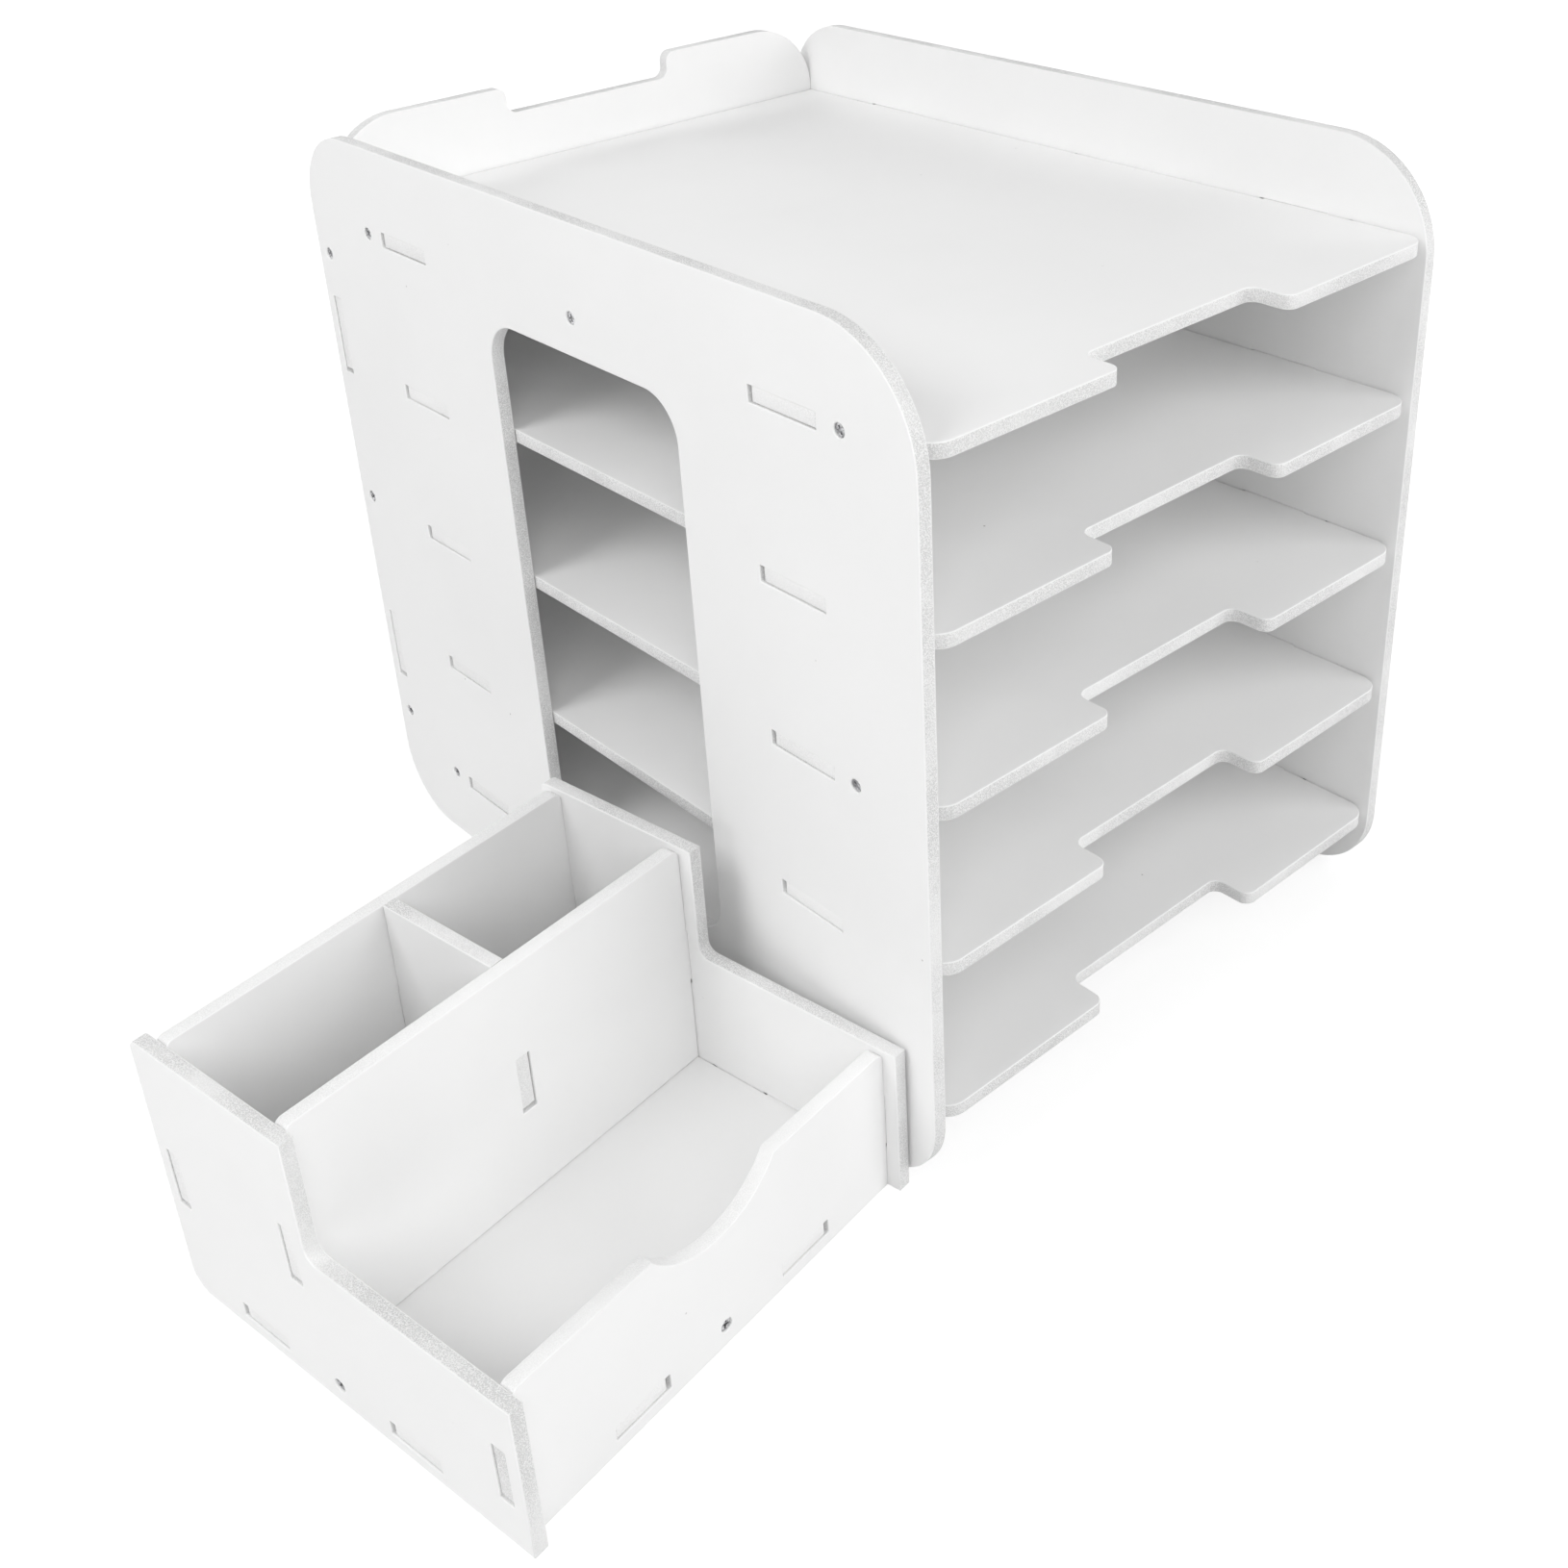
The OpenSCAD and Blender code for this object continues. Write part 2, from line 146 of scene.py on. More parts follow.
class RackSizes(bpy.types.PropertyGroup):
    """The rack's panels and shelves"""
    width: length("Width", "Width over both side panels", 238)
    depth: length("Depth", "Depth of the side panels", 320)
    height: length("Height", "Height of the side panels and the back panel", 290)
    panel_r: length("Panel Radius", "Radius of the rear corners and the bottom front corner", 28)
    front_top_r: length("Front Top Radius", "Radius of the top front corner", 38)
    back_inset: length("Back Inset", "From the back panel to the side panels' rear edges", 5)
    bottom_clear: length("Bottom Clear", "Height of the bottom shelf above the desk", 28)
    top_clear: length("Top Clear", "Height from the top shelf to the panels' top edges", 29)
    shelf_r: length("Shelf Radius", "Radius of the shelves' front corners", 8)
    notch_w: length("Notch Width", "Width of the finger notch in a shelf", 78)
    notch_d: length("Notch Depth", "Depth of the finger notch in a shelf", 15)
    notch_r: length("Notch Radius", "Radius of the finger notch's corners", 4)
    shelf_tab: length("Shelf Tab", "Length of a shelf's tabs", 27.5)
    shelf_tab_off: length("Shelf Tab Offset", "From a shelf's end to its nearest slot", 39.5)
    window_w: length("Window Width", "Width of a side panel's window", 102)
    window_r: length("Window Radius", "Radius of the window's corners", 15)
    window_gap: length("Window Gap", "From the window's top edge to the top shelf", 10.5)
    sill_gap: length("Sill Gap", "From the bottom shelf to the window's low edge", 16.5)
    dip_w: length("Dip Width", "Width of the dip in the back panel", 76)
    dip_d: length("Dip Depth", "Depth of the dip in the back panel", 10)
    dip_r: length("Dip Radius", "Radius of the dip's corners", 4)
    back_tab: length("Back Tab", "Length of the back panel's tabs", 28.5)
    back_tab_off: length("Back Tab Offset", "From the back panel's end to its nearest slot", 63)
    shelf_screw_off: length("Shelf Screw Offset", "From a shelf's end to its nearest screw", 30)
    back_screw_off: length("Back Screw Offset", "From the back panel's end to its nearest screw", 46)
    seam: length("Seam", "Fine gap round the shelves where they meet the panels", 0.4)


class BoxSizes(bpy.types.PropertyGroup):
    """The pen box and its place beside the rack"""
    length: length("Length", "Length over the end panels", 162)
    width: length("Width", "Width of the end panels", 152)
    height: length("Height", "Height of the tall part of the end panels", 98)
    low_height: length("Low Height", "Height of the low part of the end panels", 56)
    step_w: length("Step Width", "Width of the low part of the end panels", 82)
    step_r: length("Step Radius", "Radius of the step's inner corner", 4)
    foot_r: length("Foot Radius", "Radius of the lower corner on the tall side", 8)
    soft_r: length("Soft Radius", "Radius of the other rounded corners", 3)
    wall_inset: length("Wall Inset", "From the end panels' sides to the outer walls", 5)
    middle_off: length("Middle Offset", "From the step to the middle wall", 5)
    divider_shift: length("Divider Shift", "How far the divider stands past the middle", 3.5)
    floor_lift: length("Floor Lift", "Height of the floor above the desk", 5)
    wall_drop: length("Wall Drop", "Height of the end panels above the walls", 0.5)
    tab: length("Tab", "Length of the box's tabs", 20)
    end_shift: length("End Shift", "How far the end panels' floor tabs lie past the middle", 4)
    end_tab_gap: length("End Tab Gap", "Between an end panel's floor tabs", 68)
    wall_tab_gap: length("Wall Tab Gap", "Between a long wall's floor tabs", 70)
    scoop_w: length("Scoop Width", "Width of the scoop in the low wall", 50)
    scoop_d: length("Scoop Depth", "Depth of the scoop in the low wall", 13)
    turned: turn("Turned", "Angle by which the box stands turned against the rack", 9)
    gap: length("Gap", "From the rack to the nearest corner of the box", 1)
    forward: length("Forward", "How far the box stands in front of the rack", 14)
    seam: length("Seam", "Fine gap round the box's inner boards where they meet others", 0.2)


class ScrewSizes(bpy.types.PropertyGroup):
    """The sunk screws"""
    head_d: length("Head Diameter", "Diameter of the head", 4.4)
    head_h: length("Head Height", "Height of the head", 1.6)
    head_edge: length("Head Edge", "Chamfer round the head", 0.2)
    sunk: length("Sunk", "Depth of the head below the board's face", 0.6)
    hole_d: length("Hole Diameter", "Diameter of the sunk hole in the board", 4.5)
    cross_l: length("Cross Length", "Length of the cross in the head", 2.8)
    cross_w: length("Cross Width", "Width of the cross's arms", 0.7)
    cross_d: length("Cross Depth", "Depth of the cross", 0.8)
    shank_d: length("Shank Diameter", "Diameter of the shank", 2.4)
    shank_l: length("Shank Length", "Length of the shank below the head", 14)
    point_l: length("Point Length", "Length of the shank's pointed end", 3)
    point_d: length("Point Diameter", "Diameter left at the very point", 0.4)
    spin: turn("Spin", "Largest turn of a screw's cross", 90)
    seed: IntProperty(name="Seed", description="Seed of the screws' turns", default=4)


class Finish(bpy.types.PropertyGroup):
    """Colours and grain of the board and the screws"""
    face: colour("Face", "Colour of the board's smooth faces", (0.945, 0.945, 0.943))
    # The skins' own white, set a little paler than the face so that it also paints a faint highlight along
    # the board's rims
    cut: colour("Cut Edge", "Colour of the skins along a cut edge", (0.95, 0.95, 0.948))
    cell: colour("Cell", "Colour inside the open cells of a cut edge", (0.7, 0.7, 0.698))
    speck: colour("Speck", "Colour of the few specks on the faces", (0.42, 0.41, 0.4))
    screw: colour("Screw", "Colour of the screws", (0.5, 0.5, 0.51))
    cell_size: length("Cell Size", "Size of the foam's cells", 0.38)
    skin: amount("Skin", "Share of the half thickness where the skin starts", 0.8)
    speck_spacing: length("Speck Spacing", "Spacing at which specks may lie", 16)
    speck_size: amount("Speck Size", "Radius of the specks, as a share of their spacing", 0.024)
    speck_share: amount("Speck Share", "Share of the places that have a speck", 0.35)
    mottle: amount("Mottle", "Slow patches per metre on the smooth faces", 11.0, high=1000.0)
    pebble: amount("Pebble", "Fine bumps per metre on the smooth faces", 900.0, high=10000.0)
    cell_patches: amount("Cell Patches", "Patches of open cells per metre of cut edge", 120.0, high=1000.0)
    torn_patches: amount("Torn Patches", "Patches of rougher cut per metre of cut edge", 25.0, high=1000.0)
    screw_mottle: amount("Screw Mottle", "Worn patches per metre on the screws", 900.0, high=10000.0)
    pressed: amount("Pressed", "Share of the open cells that still shows on the ends of tabs", 0.35)
    clean_cut: amount("Clean Cut", "Share of the open cells that shows on the cleanest boards' edges", 0.3)


class Studio(bpy.types.PropertyGroup):
    """Camera, lamps and floor"""
    eye: FloatVectorProperty(name="Eye", description="Place of the camera", size=3, unit="LENGTH",
                             subtype="TRANSLATION", default=(-0.324416, -0.47131, 0.460411))
    aim: FloatVectorProperty(name="Aim", description="Turn of the camera", size=3, unit="ROTATION",
                             subtype="EULER", default=CAMERA_TURN)
    lens: FloatProperty(name="Lens", description="Focal length in millimetres", default=43.178)
    shift: FloatVectorProperty(name="Shift", description="Shift of the lens, as a share of the frame",
                               size=2, default=(-0.07434, -0.14458))
    sky: amount("Sky", "Strength of the even light from all round", 0.27, high=4.0)
    key: amount("Key", "Power of the soft lamp high on the left, in watts", 7.6, high=500.0)
    side: amount("Side", "Power of the soft lamp low on the left, in watts", 1.6, high=500.0)
    fill: amount("Fill", "Power of the soft lamp in front on the right, in watts", 10.3, high=500.0)
    near: amount("Near", "Power of the soft lamp beside the camera, in watts", 5.1, high=500.0)
    right: amount("Right", "Power of the soft lamp on the right, in watts", 3.2, high=500.0)
    back: amount("Back", "Power of the soft lamp behind, in watts", 6.0, high=500.0)


SETTINGS = {
    "rack_board": BoardSizes,
    "rack_sizes": RackSizes,
    "rack_box": BoxSizes,
    "rack_screws": ScrewSizes,
    "rack_finish": Finish,
    "rack_studio": Studio,
}


# Outlines, as lists of points (u, v)

def rounded(corners):
    """Closed outline through corners (u, v, radius), each one rounded by its own radius."""
    points = []
    for i, (u, v, radius) in enumerate(corners):
        here = np.array((u, v))
        back = np.array(corners[i - 1][:2]) - here
        ahead = np.array(corners[(i + 1) % len(corners)][:2]) - here
        if radius <= 0:
            points.append(tuple(here))
            continue
        back, ahead = back / np.linalg.norm(back), ahead / np.linalg.norm(ahead)
        half = math.acos(max(-1.0, min(1.0, float(back @ ahead)))) / 2
        middle = (back + ahead) / np.linalg.norm(back + ahead)
        centre = here + middle * radius / math.sin(half)
        first = here + back * radius / math.tan(half) - centre
        last = here + ahead * radius / math.tan(half) - centre
        start = math.atan2(first[1], first[0])
        sweep = (math.atan2(last[1], last[0]) - start + math.pi) % (2 * math.pi) - math.pi
        steps = SMALL_ARC_STEPS
        if radius > MILLIMETRE:
            steps = max(steps, math.ceil(abs(sweep) / ARC_STEP))
        for k in range(steps + 1):
            angle = start + sweep * k / steps
            points.append((centre[0] + radius * math.cos(angle), centre[1] + radius * math.sin(angle)))
    return points


def rectangle(u, v, wide, high, radius):
    far_u, far_v = u + wide, v + high
    return rounded([(u, v, radius), (far_u, v, radius), (far_u, far_v, radius), (u, far_v, radius)])


def circle(u, v, radius, steps=HOLE_STEPS):
    angles = [2 * math.pi * k / steps for k in range(steps)]
    return [(u + radius * math.cos(a), v + radius * math.sin(a)) for a in angles]


def lying_slot(board, u, v, tab):
    """Slot for a tab that lies along u, from the tab's low corner."""
    return rectangle(u - board.tab_fit, v - board.slot_slack, tab + board.tab_fit + board.slot_run,
                     board.thickness + board.slot_slack + board.tab_fit, board.cutter_r)


def upright_slot(board, u, v, tab):
    """Slot for a tab that stands along v, from the tab's low corner."""
    wide = board.thickness + board.tab_fit + board.slot_slack
    high = tab + board.slot_run + board.tab_fit
    return rectangle(u - board.tab_fit, v - board.slot_run, wide, high, board.cutter_r)


def edge_with_tabs(board, seam, fixed, starts, tab, outward, along_v):
    """Corners of the tabs on a straight edge, in the order of starts."""
    reach = (board.thickness + seam - board.tab_recess) * outward
    soft = board.cutter_r
    corners = []
    for start in starts:
        near, far = start, start + tab
        if (outward > 0) != along_v:
            near, far = far, near
        for place, distance, radius in ((near, 0, 0), (near, reach, soft), (far, reach, soft), (far, 0, 0)):
            away = fixed + distance
            corners.append((away, place, radius) if along_v else (place, away, radius))
    return corners


def tabbed_outline(board, seam, sides, lower, upper, starts, tab):
    """Outline of a board that goes between two others, with the same tabs on both sides.

    lower and upper are those edges, each as its height, its corners' radius and the dip in it.
    """
    (left, right), (low, low_r, low_dip), (high, high_r, high_dip) = sides, lower, upper
    return rounded([(left, low, low_r)] + low_dip + [(right, low, low_r)]
                   + edge_with_tabs(board, seam, right, starts, tab, 1, True)
                   + [(right, high, high_r)] + high_dip + [(left, high, high_r)]
                   + edge_with_tabs(board, seam, left, starts[::-1], tab, -1, True))


# Meshes

class Shell:
    """Points and faces of one closed mesh, with the place across the board's thickness at each point."""

    def __init__(self):
        self.points, self.across, self.cells, self.faces, self.cut = [], [], [], [], []

    def ring(self, outline, w, across, cells=None):
        first = len(self.points)
        self.points += [(u, v, w) for u, v in outline]
        self.across += [across] * len(outline)
        self.cells += [1.0] * len(outline) if cells is None else cells
        return range(first, first + len(outline))

    def bridge(self, low, high, cut=1):
        count = len(low)
        for i in range(count):
            j = (i + 1) % count
            self.faces.append((low[i], low[j], high[j], high[i]))
            self.cut.append(cut)

    def cap(self, rings, upward):
        loops = [[Vector(self.points[i][:2]) for i in ring] for ring in rings]
        index = [i for ring in rings for i in ring]
        flat, edges = [], []
        for loop in loops:
            base = len(flat)
            flat += loop
            edges += [(base + k, base + (k + 1) % len(loop)) for k in range(len(loop))]
        made, _, triangles, came_from = delaunay_2d_cdt(flat, edges, [], 0, CAP_TOLERANCE)[:4]
        ends = np.array([(*flat[a], *flat[b]) for a, b in edges])
        for triangle in triangles:
            a, b, c = (made[k] for k in triangle)
            if not inside((a + b + c) / 3, ends):
                continue
            corners = [index[came_from[k][0]] for k in triangle]
            if ((b - a).cross(c - a) > 0) != upward:
                corners.reverse()
            self.faces.append(tuple(corners))
            self.cut.append(0)

    def mesh(self, name, place, materials):
        mesh = bpy.data.meshes.new(name)
        corners = [place @ Vector(p) for p in self.points]
        faces = self.faces if place.determinant() > 0 else [tuple(reversed(f)) for f in self.faces]
        mesh.from_pydata(corners, [], faces)
        for material in materials:
            mesh.materials.append(material)
        mesh.polygons.foreach_set("material_index", np.array(self.cut, np.int32) * (len(materials) > 1))
        for label, values in (("across", self.across), ("cells", self.cells)):
            attribute = mesh.attributes.new(label, "FLOAT", "POINT")
            attribute.data.foreach_set("value", np.array(values, np.float32))
        mesh.shade_smooth()
        mesh.set_sharp_from_angle(angle=SHARP_ANGLE)
        mesh.update()
        return mesh


def inside(point, ends):
    """Whether a point lies inside the outlines, whose edges are rows (u0, v0, u1, v1)."""
    u0, v0, u1, v1 = ends.T
    crossing = (v0 > point.y) != (v1 > point.y)
    rise = np.where(crossing, v1 - v0, 1.0)
    return int(np.count_nonzero(crossing & (point.x < u0 + (point.y - v0) * (u1 - u0) / rise))) % 2 == 1


def anticlockwise(outline):
    area = sum(a[0] * b[1] - b[0] * a[1] for a, b in zip(outline, outline[1:] + outline[:1]))
    return outline if area > 0 else outline[::-1]


def moved_in(outline, distance):
    """The outline moved to its left by a distance, with mitred corners."""
    points = np.array(outline)
    before = points - np.roll(points, 1, 0)
    after = np.roll(points, -1, 0) - points
    left = [np.stack([-e[:, 1], e[:, 0]], 1) / np.linalg.norm(e, axis=1)[:, None] for e in (before, after)]
    mitre = (left[0] + left[1]) / (1 + (left[0] * left[1]).sum(1))[:, None]
    return [tuple(p) for p in points + mitre * distance]


def without_repeats(outline):
    return [p for i, p in enumerate(outline) if math.dist(p, outline[i - 1]) > SAME_PLACE]


def open_cells(loop, tab_axes, pressed, cut):
    """How far the cells show open at each point of an outline: less on the ends of its tabs."""
    points = np.array(loop)
    on_end = np.zeros(len(loop), bool)
    for axis in tab_axes:
        for limit in (points[:, axis].min(), points[:, axis].max()):
            on_end |= np.abs(points[:, axis] - limit) < SAME_PLACE
    return [float(share) for share in np.where(on_end, pressed, cut)]


def board_shell(outline, holes, thickness, rim, tab_axes, pressed, cut):
    """Flat board with rounded rims along its outline and its holes."""
    shell = Shell()
    loops = [anticlockwise(without_repeats(outline))]
    loops += [anticlockwise(without_repeats(h))[::-1] for h in holes]
    levels = [(rim * FLAT_BAND, 0.0)]
    for angle in map(math.radians, RIM_ANGLES):
        levels.append((rim * (1 - math.sin(angle)), rim * (1 - math.cos(angle))))
    levels += [(inset, thickness - w) for inset, w in reversed(levels)]
    cells = [open_cells(loops[0], tab_axes, pressed, cut)] + [None] * len(holes)
    rings = []
    for inset, w in levels:
        across = 2 * w / thickness - 1
        level = [moved_in(loop, inset) for loop in loops]
        rings.append([shell.ring(loop, w, across, shares) for loop, shares in zip(level, cells)])
    last_band = len(rings) - 2
    for band, (low, high) in enumerate(zip(rings, rings[1:])):
        for low_ring, high_ring in zip(low, high):
            shell.bridge(low_ring, high_ring, cut=int(0 < band < last_band))
    shell.cap(rings[0], upward=False)
    shell.cap(rings[-1], upward=True)
    return shell


def axes(u, v, w, origin=(0, 0, 0)):
    """Matrix that puts a flat board's u, v and w along the given directions."""
    matrix = Matrix((u, v, w)).transposed().to_4x4()
    matrix.translation = Vector(origin)
    return matrix


X, Y, Z = (1, 0, 0), (0, 1, 0), (0, 0, 1)
MINUS_X = (-1, 0, 0)


def finished(mesh, name, body, nodes):
    """Object of a finished mesh that rides on its body and stands for its CAD nodes."""
    piece = bpy.data.objects.new(name, mesh)
    bpy.context.scene.collection.objects.link(piece)
    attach(piece, body)
    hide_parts(*nodes)
    return piece


def cut_board(context, name, body, node, place, outline, holes=(), tab_axes=(0,)):
    board, finish = context.scene.rack_board, context.scene.rack_finish
    pressed = 1.0 if node in RAW_TAB_NODES else finish.pressed
    cut = finish.clean_cut if node in CLEAN_CUT_NODES else 1.0
    shell = board_shell(outline, holes, board.thickness, board.rim, tab_axes, pressed, cut)
    materials = [bpy.data.materials["foam_board_face"], bpy.data.materials["foam_board_cut_edge"]]
    return finished(shell.mesh(name, place, materials), name, body, [node])


# Places derived from the sizes

def between_panels(board, seam, width):
    """Where a board between two panels starts and ends, a seam away from both."""
    return board.thickness + seam, width - board.thickness - seam


def footprint_middle(scene):
    rack, box = scene.rack_sizes, scene.rack_box
    left = -box.gap - box.length * math.cos(box.turned) - box.width * math.sin(box.turned)
    return Vector(((left + rack.width) / 2, (rack.depth - box.forward) / 2, 0))


def rack_place(scene):
    return Matrix.Translation(-footprint_middle(scene))


def box_place(scene):
    box = scene.rack_box
    corner = Vector((-box.gap - box.length * math.cos(box.turned), -box.forward, 0))
    return Matrix.Translation(corner - footprint_middle(scene)) @ Matrix.Rotation(box.turned, 4, "Z")


def shelf_heights(scene):
    board, rack = scene.rack_board, scene.rack_sizes
    rise = rack.height - rack.bottom_clear - rack.top_clear - board.thickness
    return [rack.bottom_clear + rise * k / (len(SHELF_NODES) - 1) for k in range(len(SHELF_NODES))]


def shelf_depth(scene):
    return scene.rack_sizes.depth - scene.rack_sizes.back_inset - scene.rack_board.thickness


def shelf_tab_starts(scene):
    board, rack = scene.rack_board, scene.rack_sizes
    return [rack.shelf_tab_off, shelf_depth(scene) - rack.shelf_tab_off - rack.shelf_tab - board.slot_run]


def back_tab_starts(scene):
    board, rack = scene.rack_board, scene.rack_sizes
    return [rack.back_tab_off + board.slot_run, rack.height - rack.back_tab_off - rack.back_tab]


def shelf_screw_spots(scene):
    """Screws in a side panel that hold shelves, as (depth, height)."""
    board, rack = scene.rack_board, scene.rack_sizes
    heights = [z + board.thickness / 2 for z in shelf_heights(scene)]
    front, rear = rack.shelf_screw_off, shelf_depth(scene) - rack.shelf_screw_off
    middle = shelf_depth(scene) / 2
    top = [(y, heights[-1]) for y in (front, middle, rear)]
    return top + [(front, heights[2]), (front, heights[0]), (rear, heights[0])]


def back_screw_spots(scene):
    """Screws in a side panel that hold the back panel, as (depth, height)."""
    board, rack = scene.rack_board, scene.rack_sizes
    y = shelf_depth(scene) + board.thickness / 2
    return [(y, z) for z in (rack.back_screw_off, rack.height / 2, rack.height - rack.back_screw_off)]


def box_values(scene):
    """Derived places in the pen box, from its outer front corner."""
    board, box = scene.rack_board, scene.rack_box
    t, tab = board.thickness, box.tab
    values = {
        "wall_top": box.height - box.wall_drop,
        "low_top": box.low_height - box.wall_drop,
        "floor_top": box.floor_lift + t,
        "floor_mid": box.floor_lift + t / 2,
        "middle_y": box.step_w + box.middle_off,
        "tall_y": box.width - box.wall_inset - t,
        "floor_y": box.wall_inset + t,
        "end_mid": box.width / 2 + box.end_shift,
        "divider_x": box.length / 2 - t / 2 + box.divider_shift,
    }
    values["tall_tab"] = (values["wall_top"] - tab) / 2
    values["low_tab"] = (values["low_top"] - tab) / 2
    values["inner_tab"] = (values["floor_top"] + values["wall_top"] - tab) / 2
    values["end_tabs"] = [values["end_mid"] + s * box.end_tab_gap / 2 - tab / 2 for s in (-1, 1)]
    values["wall_tabs"] = [box.length / 2 + s * box.wall_tab_gap / 2 - tab / 2 for s in (-1, 1)]
    return values


# Materials

def node_in(tree, kind, at, **settings):
    node = tree.nodes.new(kind)
    node.location = (at[0] * NODE_STEP[0], at[1] * NODE_STEP[1])
    for key, value in settings.items():
        setattr(node, key, value)
    return node


def wired(tree, source, target):
    tree.links.new(source, target)


def effect_group(name, inputs, outputs):
    """Empty shader group with named inputs (name, default) and outputs (name, socket type)."""
    tree = bpy.data.node_groups.new(name, "ShaderNodeTree")
    for label, default in inputs:
        socket = tree.interface.new_socket(label, in_out="INPUT", socket_type="NodeSocketFloat")
        socket.default_value = default
    for label, kind in outputs:
        tree.interface.new_socket(label, in_out="OUTPUT", socket_type=kind)
    return tree, node_in(tree, "NodeGroupInput", (0, 0)), node_in(tree, "NodeGroupOutput", (8, 0))


def value_node(tree, operation, at, first, second, clamp=False):
    node = node_in(tree, "ShaderNodeMath", at, operation=operation, use_clamp=clamp)
    for socket, value in zip(node.inputs, (first, second)):
        if isinstance(value, (int, float)):
            socket.default_value = value
        else:
            wired(tree, value, socket)
    return node.outputs["Value"]


def ranged(tree, at, value, low, high, to_low=0.0, to_high=1.0):
    node = node_in(tree, "ShaderNodeMapRange", at, interpolation_type="SMOOTHSTEP")
    wired(tree, value, node.inputs["Value"])
    for label, number in (("From Min", low), ("From Max", high), ("To Min", to_low), ("To Max", to_high)):
        node.inputs[label].default_value = number
    return node.outputs["Result"]


def foam_cells_group():
    """Open cells of cut foam board: a height for bump and a shade for colour, both from 0 to 1."""
    inputs = [("Cells per Metre", 1800.0), ("Patches per Metre", 160.0)]
    outputs = [("Height", "NodeSocketFloat"), ("Shade", "NodeSocketFloat")]
    tree, given, out = effect_group("foam_cells", inputs, outputs)
    place = node_in(tree, "ShaderNodeTexCoord", (0, 2)).outputs["Object"]
    cells = node_in(tree, "ShaderNodeTexVoronoi", (2, 0), feature="F1")
    grit = node_in(tree, "ShaderNodeTexNoise", (2, 2))
    grit.inputs["Detail"].default_value = 3.0
    patch = node_in(tree, "ShaderNodeTexNoise", (2, 4))
    # Turned so that no edge of a board lies in a plane of the noise's own grid, where it would look smooth
    turned = node_in(tree, "ShaderNodeVectorRotate", (1, 2), rotation_type="EULER_XYZ")
    turned.inputs["Rotation"].default_value = (0.5, 0.7, 0.3)
    wired(tree, place, turned.inputs["Vector"])
    for node in (cells, grit, patch):
        wired(tree, turned.outputs["Vector"], node.inputs["Vector"])
    wired(tree, given.outputs["Cells per Metre"], cells.inputs["Scale"])
    wired(tree, given.outputs["Cells per Metre"], grit.inputs["Scale"])
    wired(tree, given.outputs["Patches per Metre"], patch.inputs["Scale"])
    pits = ranged(tree, (3, 0), cells.outputs["Distance"], 0.15, 0.6)
    grains = ranged(tree, (3, 2), grit.outputs["Fac"], 0.36, 0.64)
    patches = ranged(tree, (3, 4), patch.outputs["Fac"], 0.3, 0.7, 0.8, 1.0)
    both = value_node(tree, "MULTIPLY", (4, 1), pits, grains)
    wired(tree, value_node(tree, "MULTIPLY", (5, 1), both, patches), out.inputs["Height"])
    wired(tree, value_node(tree, "MULTIPLY", (5, 3), grains, patches), out.inputs["Shade"])
    return tree


def specks_group():
    """Few small specks, as on handled board: a mask from 0 to 1."""
    inputs = [("Spots per Metre", 60.0), ("Spot Size", 0.03), ("Share", 0.3)]
    tree, given, out = effect_group("board_specks", inputs, [("Mask", "NodeSocketFloat")])
    place = node_in(tree, "ShaderNodeTexCoord", (0, 2)).outputs["Object"]
    spots = node_in(tree, "ShaderNodeTexVoronoi", (2, 0), feature="F1")
    wired(tree, place, spots.inputs["Vector"])
    wired(tree, given.outputs["Spots per Metre"], spots.inputs["Scale"])
    split = node_in(tree, "ShaderNodeSeparateColor", (3, 1))
    wired(tree, spots.outputs["Color"], split.inputs["Color"])
    chosen = value_node(tree, "LESS_THAN", (4, 1), split.outputs["Red"], given.outputs["Share"])
    near = value_node(tree, "DIVIDE", (3, 0), spots.outputs["Distance"], given.outputs["Spot Size"])
    soft = ranged(tree, (4, 0), near, 0.6, 1.2, 1.0, 0.0)
    strength = value_node(tree, "MULTIPLY", (5, 0), soft, split.outputs["Green"])
    wired(tree, value_node(tree, "MULTIPLY", (6, 0), strength, chosen), out.inputs["Mask"])
    return tree


def mottle_group():
    """Slow, faint changes over a surface: a value around 0.5."""
    inputs = [("Patches per Metre", 14.0)]
    tree, given, out = effect_group("faint_mottle", inputs, [("Value", "NodeSocketFloat")])
    place = node_in(tree, "ShaderNodeTexCoord", (0, 2)).outputs["Object"]
    slow = node_in(tree, "ShaderNodeTexNoise", (2, 0))
    slow.inputs["Detail"].default_value = 4.0
    wired(tree, place, slow.inputs["Vector"])
    wired(tree, given.outputs["Patches per Metre"], slow.inputs["Scale"])
    wired(tree, slow.outputs["Fac"], out.inputs["Value"])
    return tree


def placed_group(tree, name, at, **values):
    node = node_in(tree, "ShaderNodeGroup", at, node_tree=bpy.data.node_groups[name])
    for label, value in values.items():
        node.inputs[label.replace("_", " ").title().replace(" Per ", " per ")].default_value = value
    return node


def blend_colour(tree, at, mask, low, high):
    node = node_in(tree, "ShaderNodeMix", at, data_type="RGBA")
    wired(tree, mask, node.inputs["Factor"])
    for number, value in zip(MIX_COLOURS, (low, high)):
        if isinstance(value, bpy.types.NodeSocket):
            wired(tree, value, node.inputs[number])
        else:
            node.inputs[number].default_value = (*value, 1.0)
    return node.outputs[MIX_RESULT]


def new_material(name):
    material = bpy.data.materials.new(name)
    material.use_nodes = True
    tree = material.node_tree
    shader = tree.nodes["Principled BSDF"]
    for node, column in ((shader, 7), (tree.nodes["Material Output"], 9)):
        node.location = (column * NODE_STEP[0], 0)
    return material, tree, shader


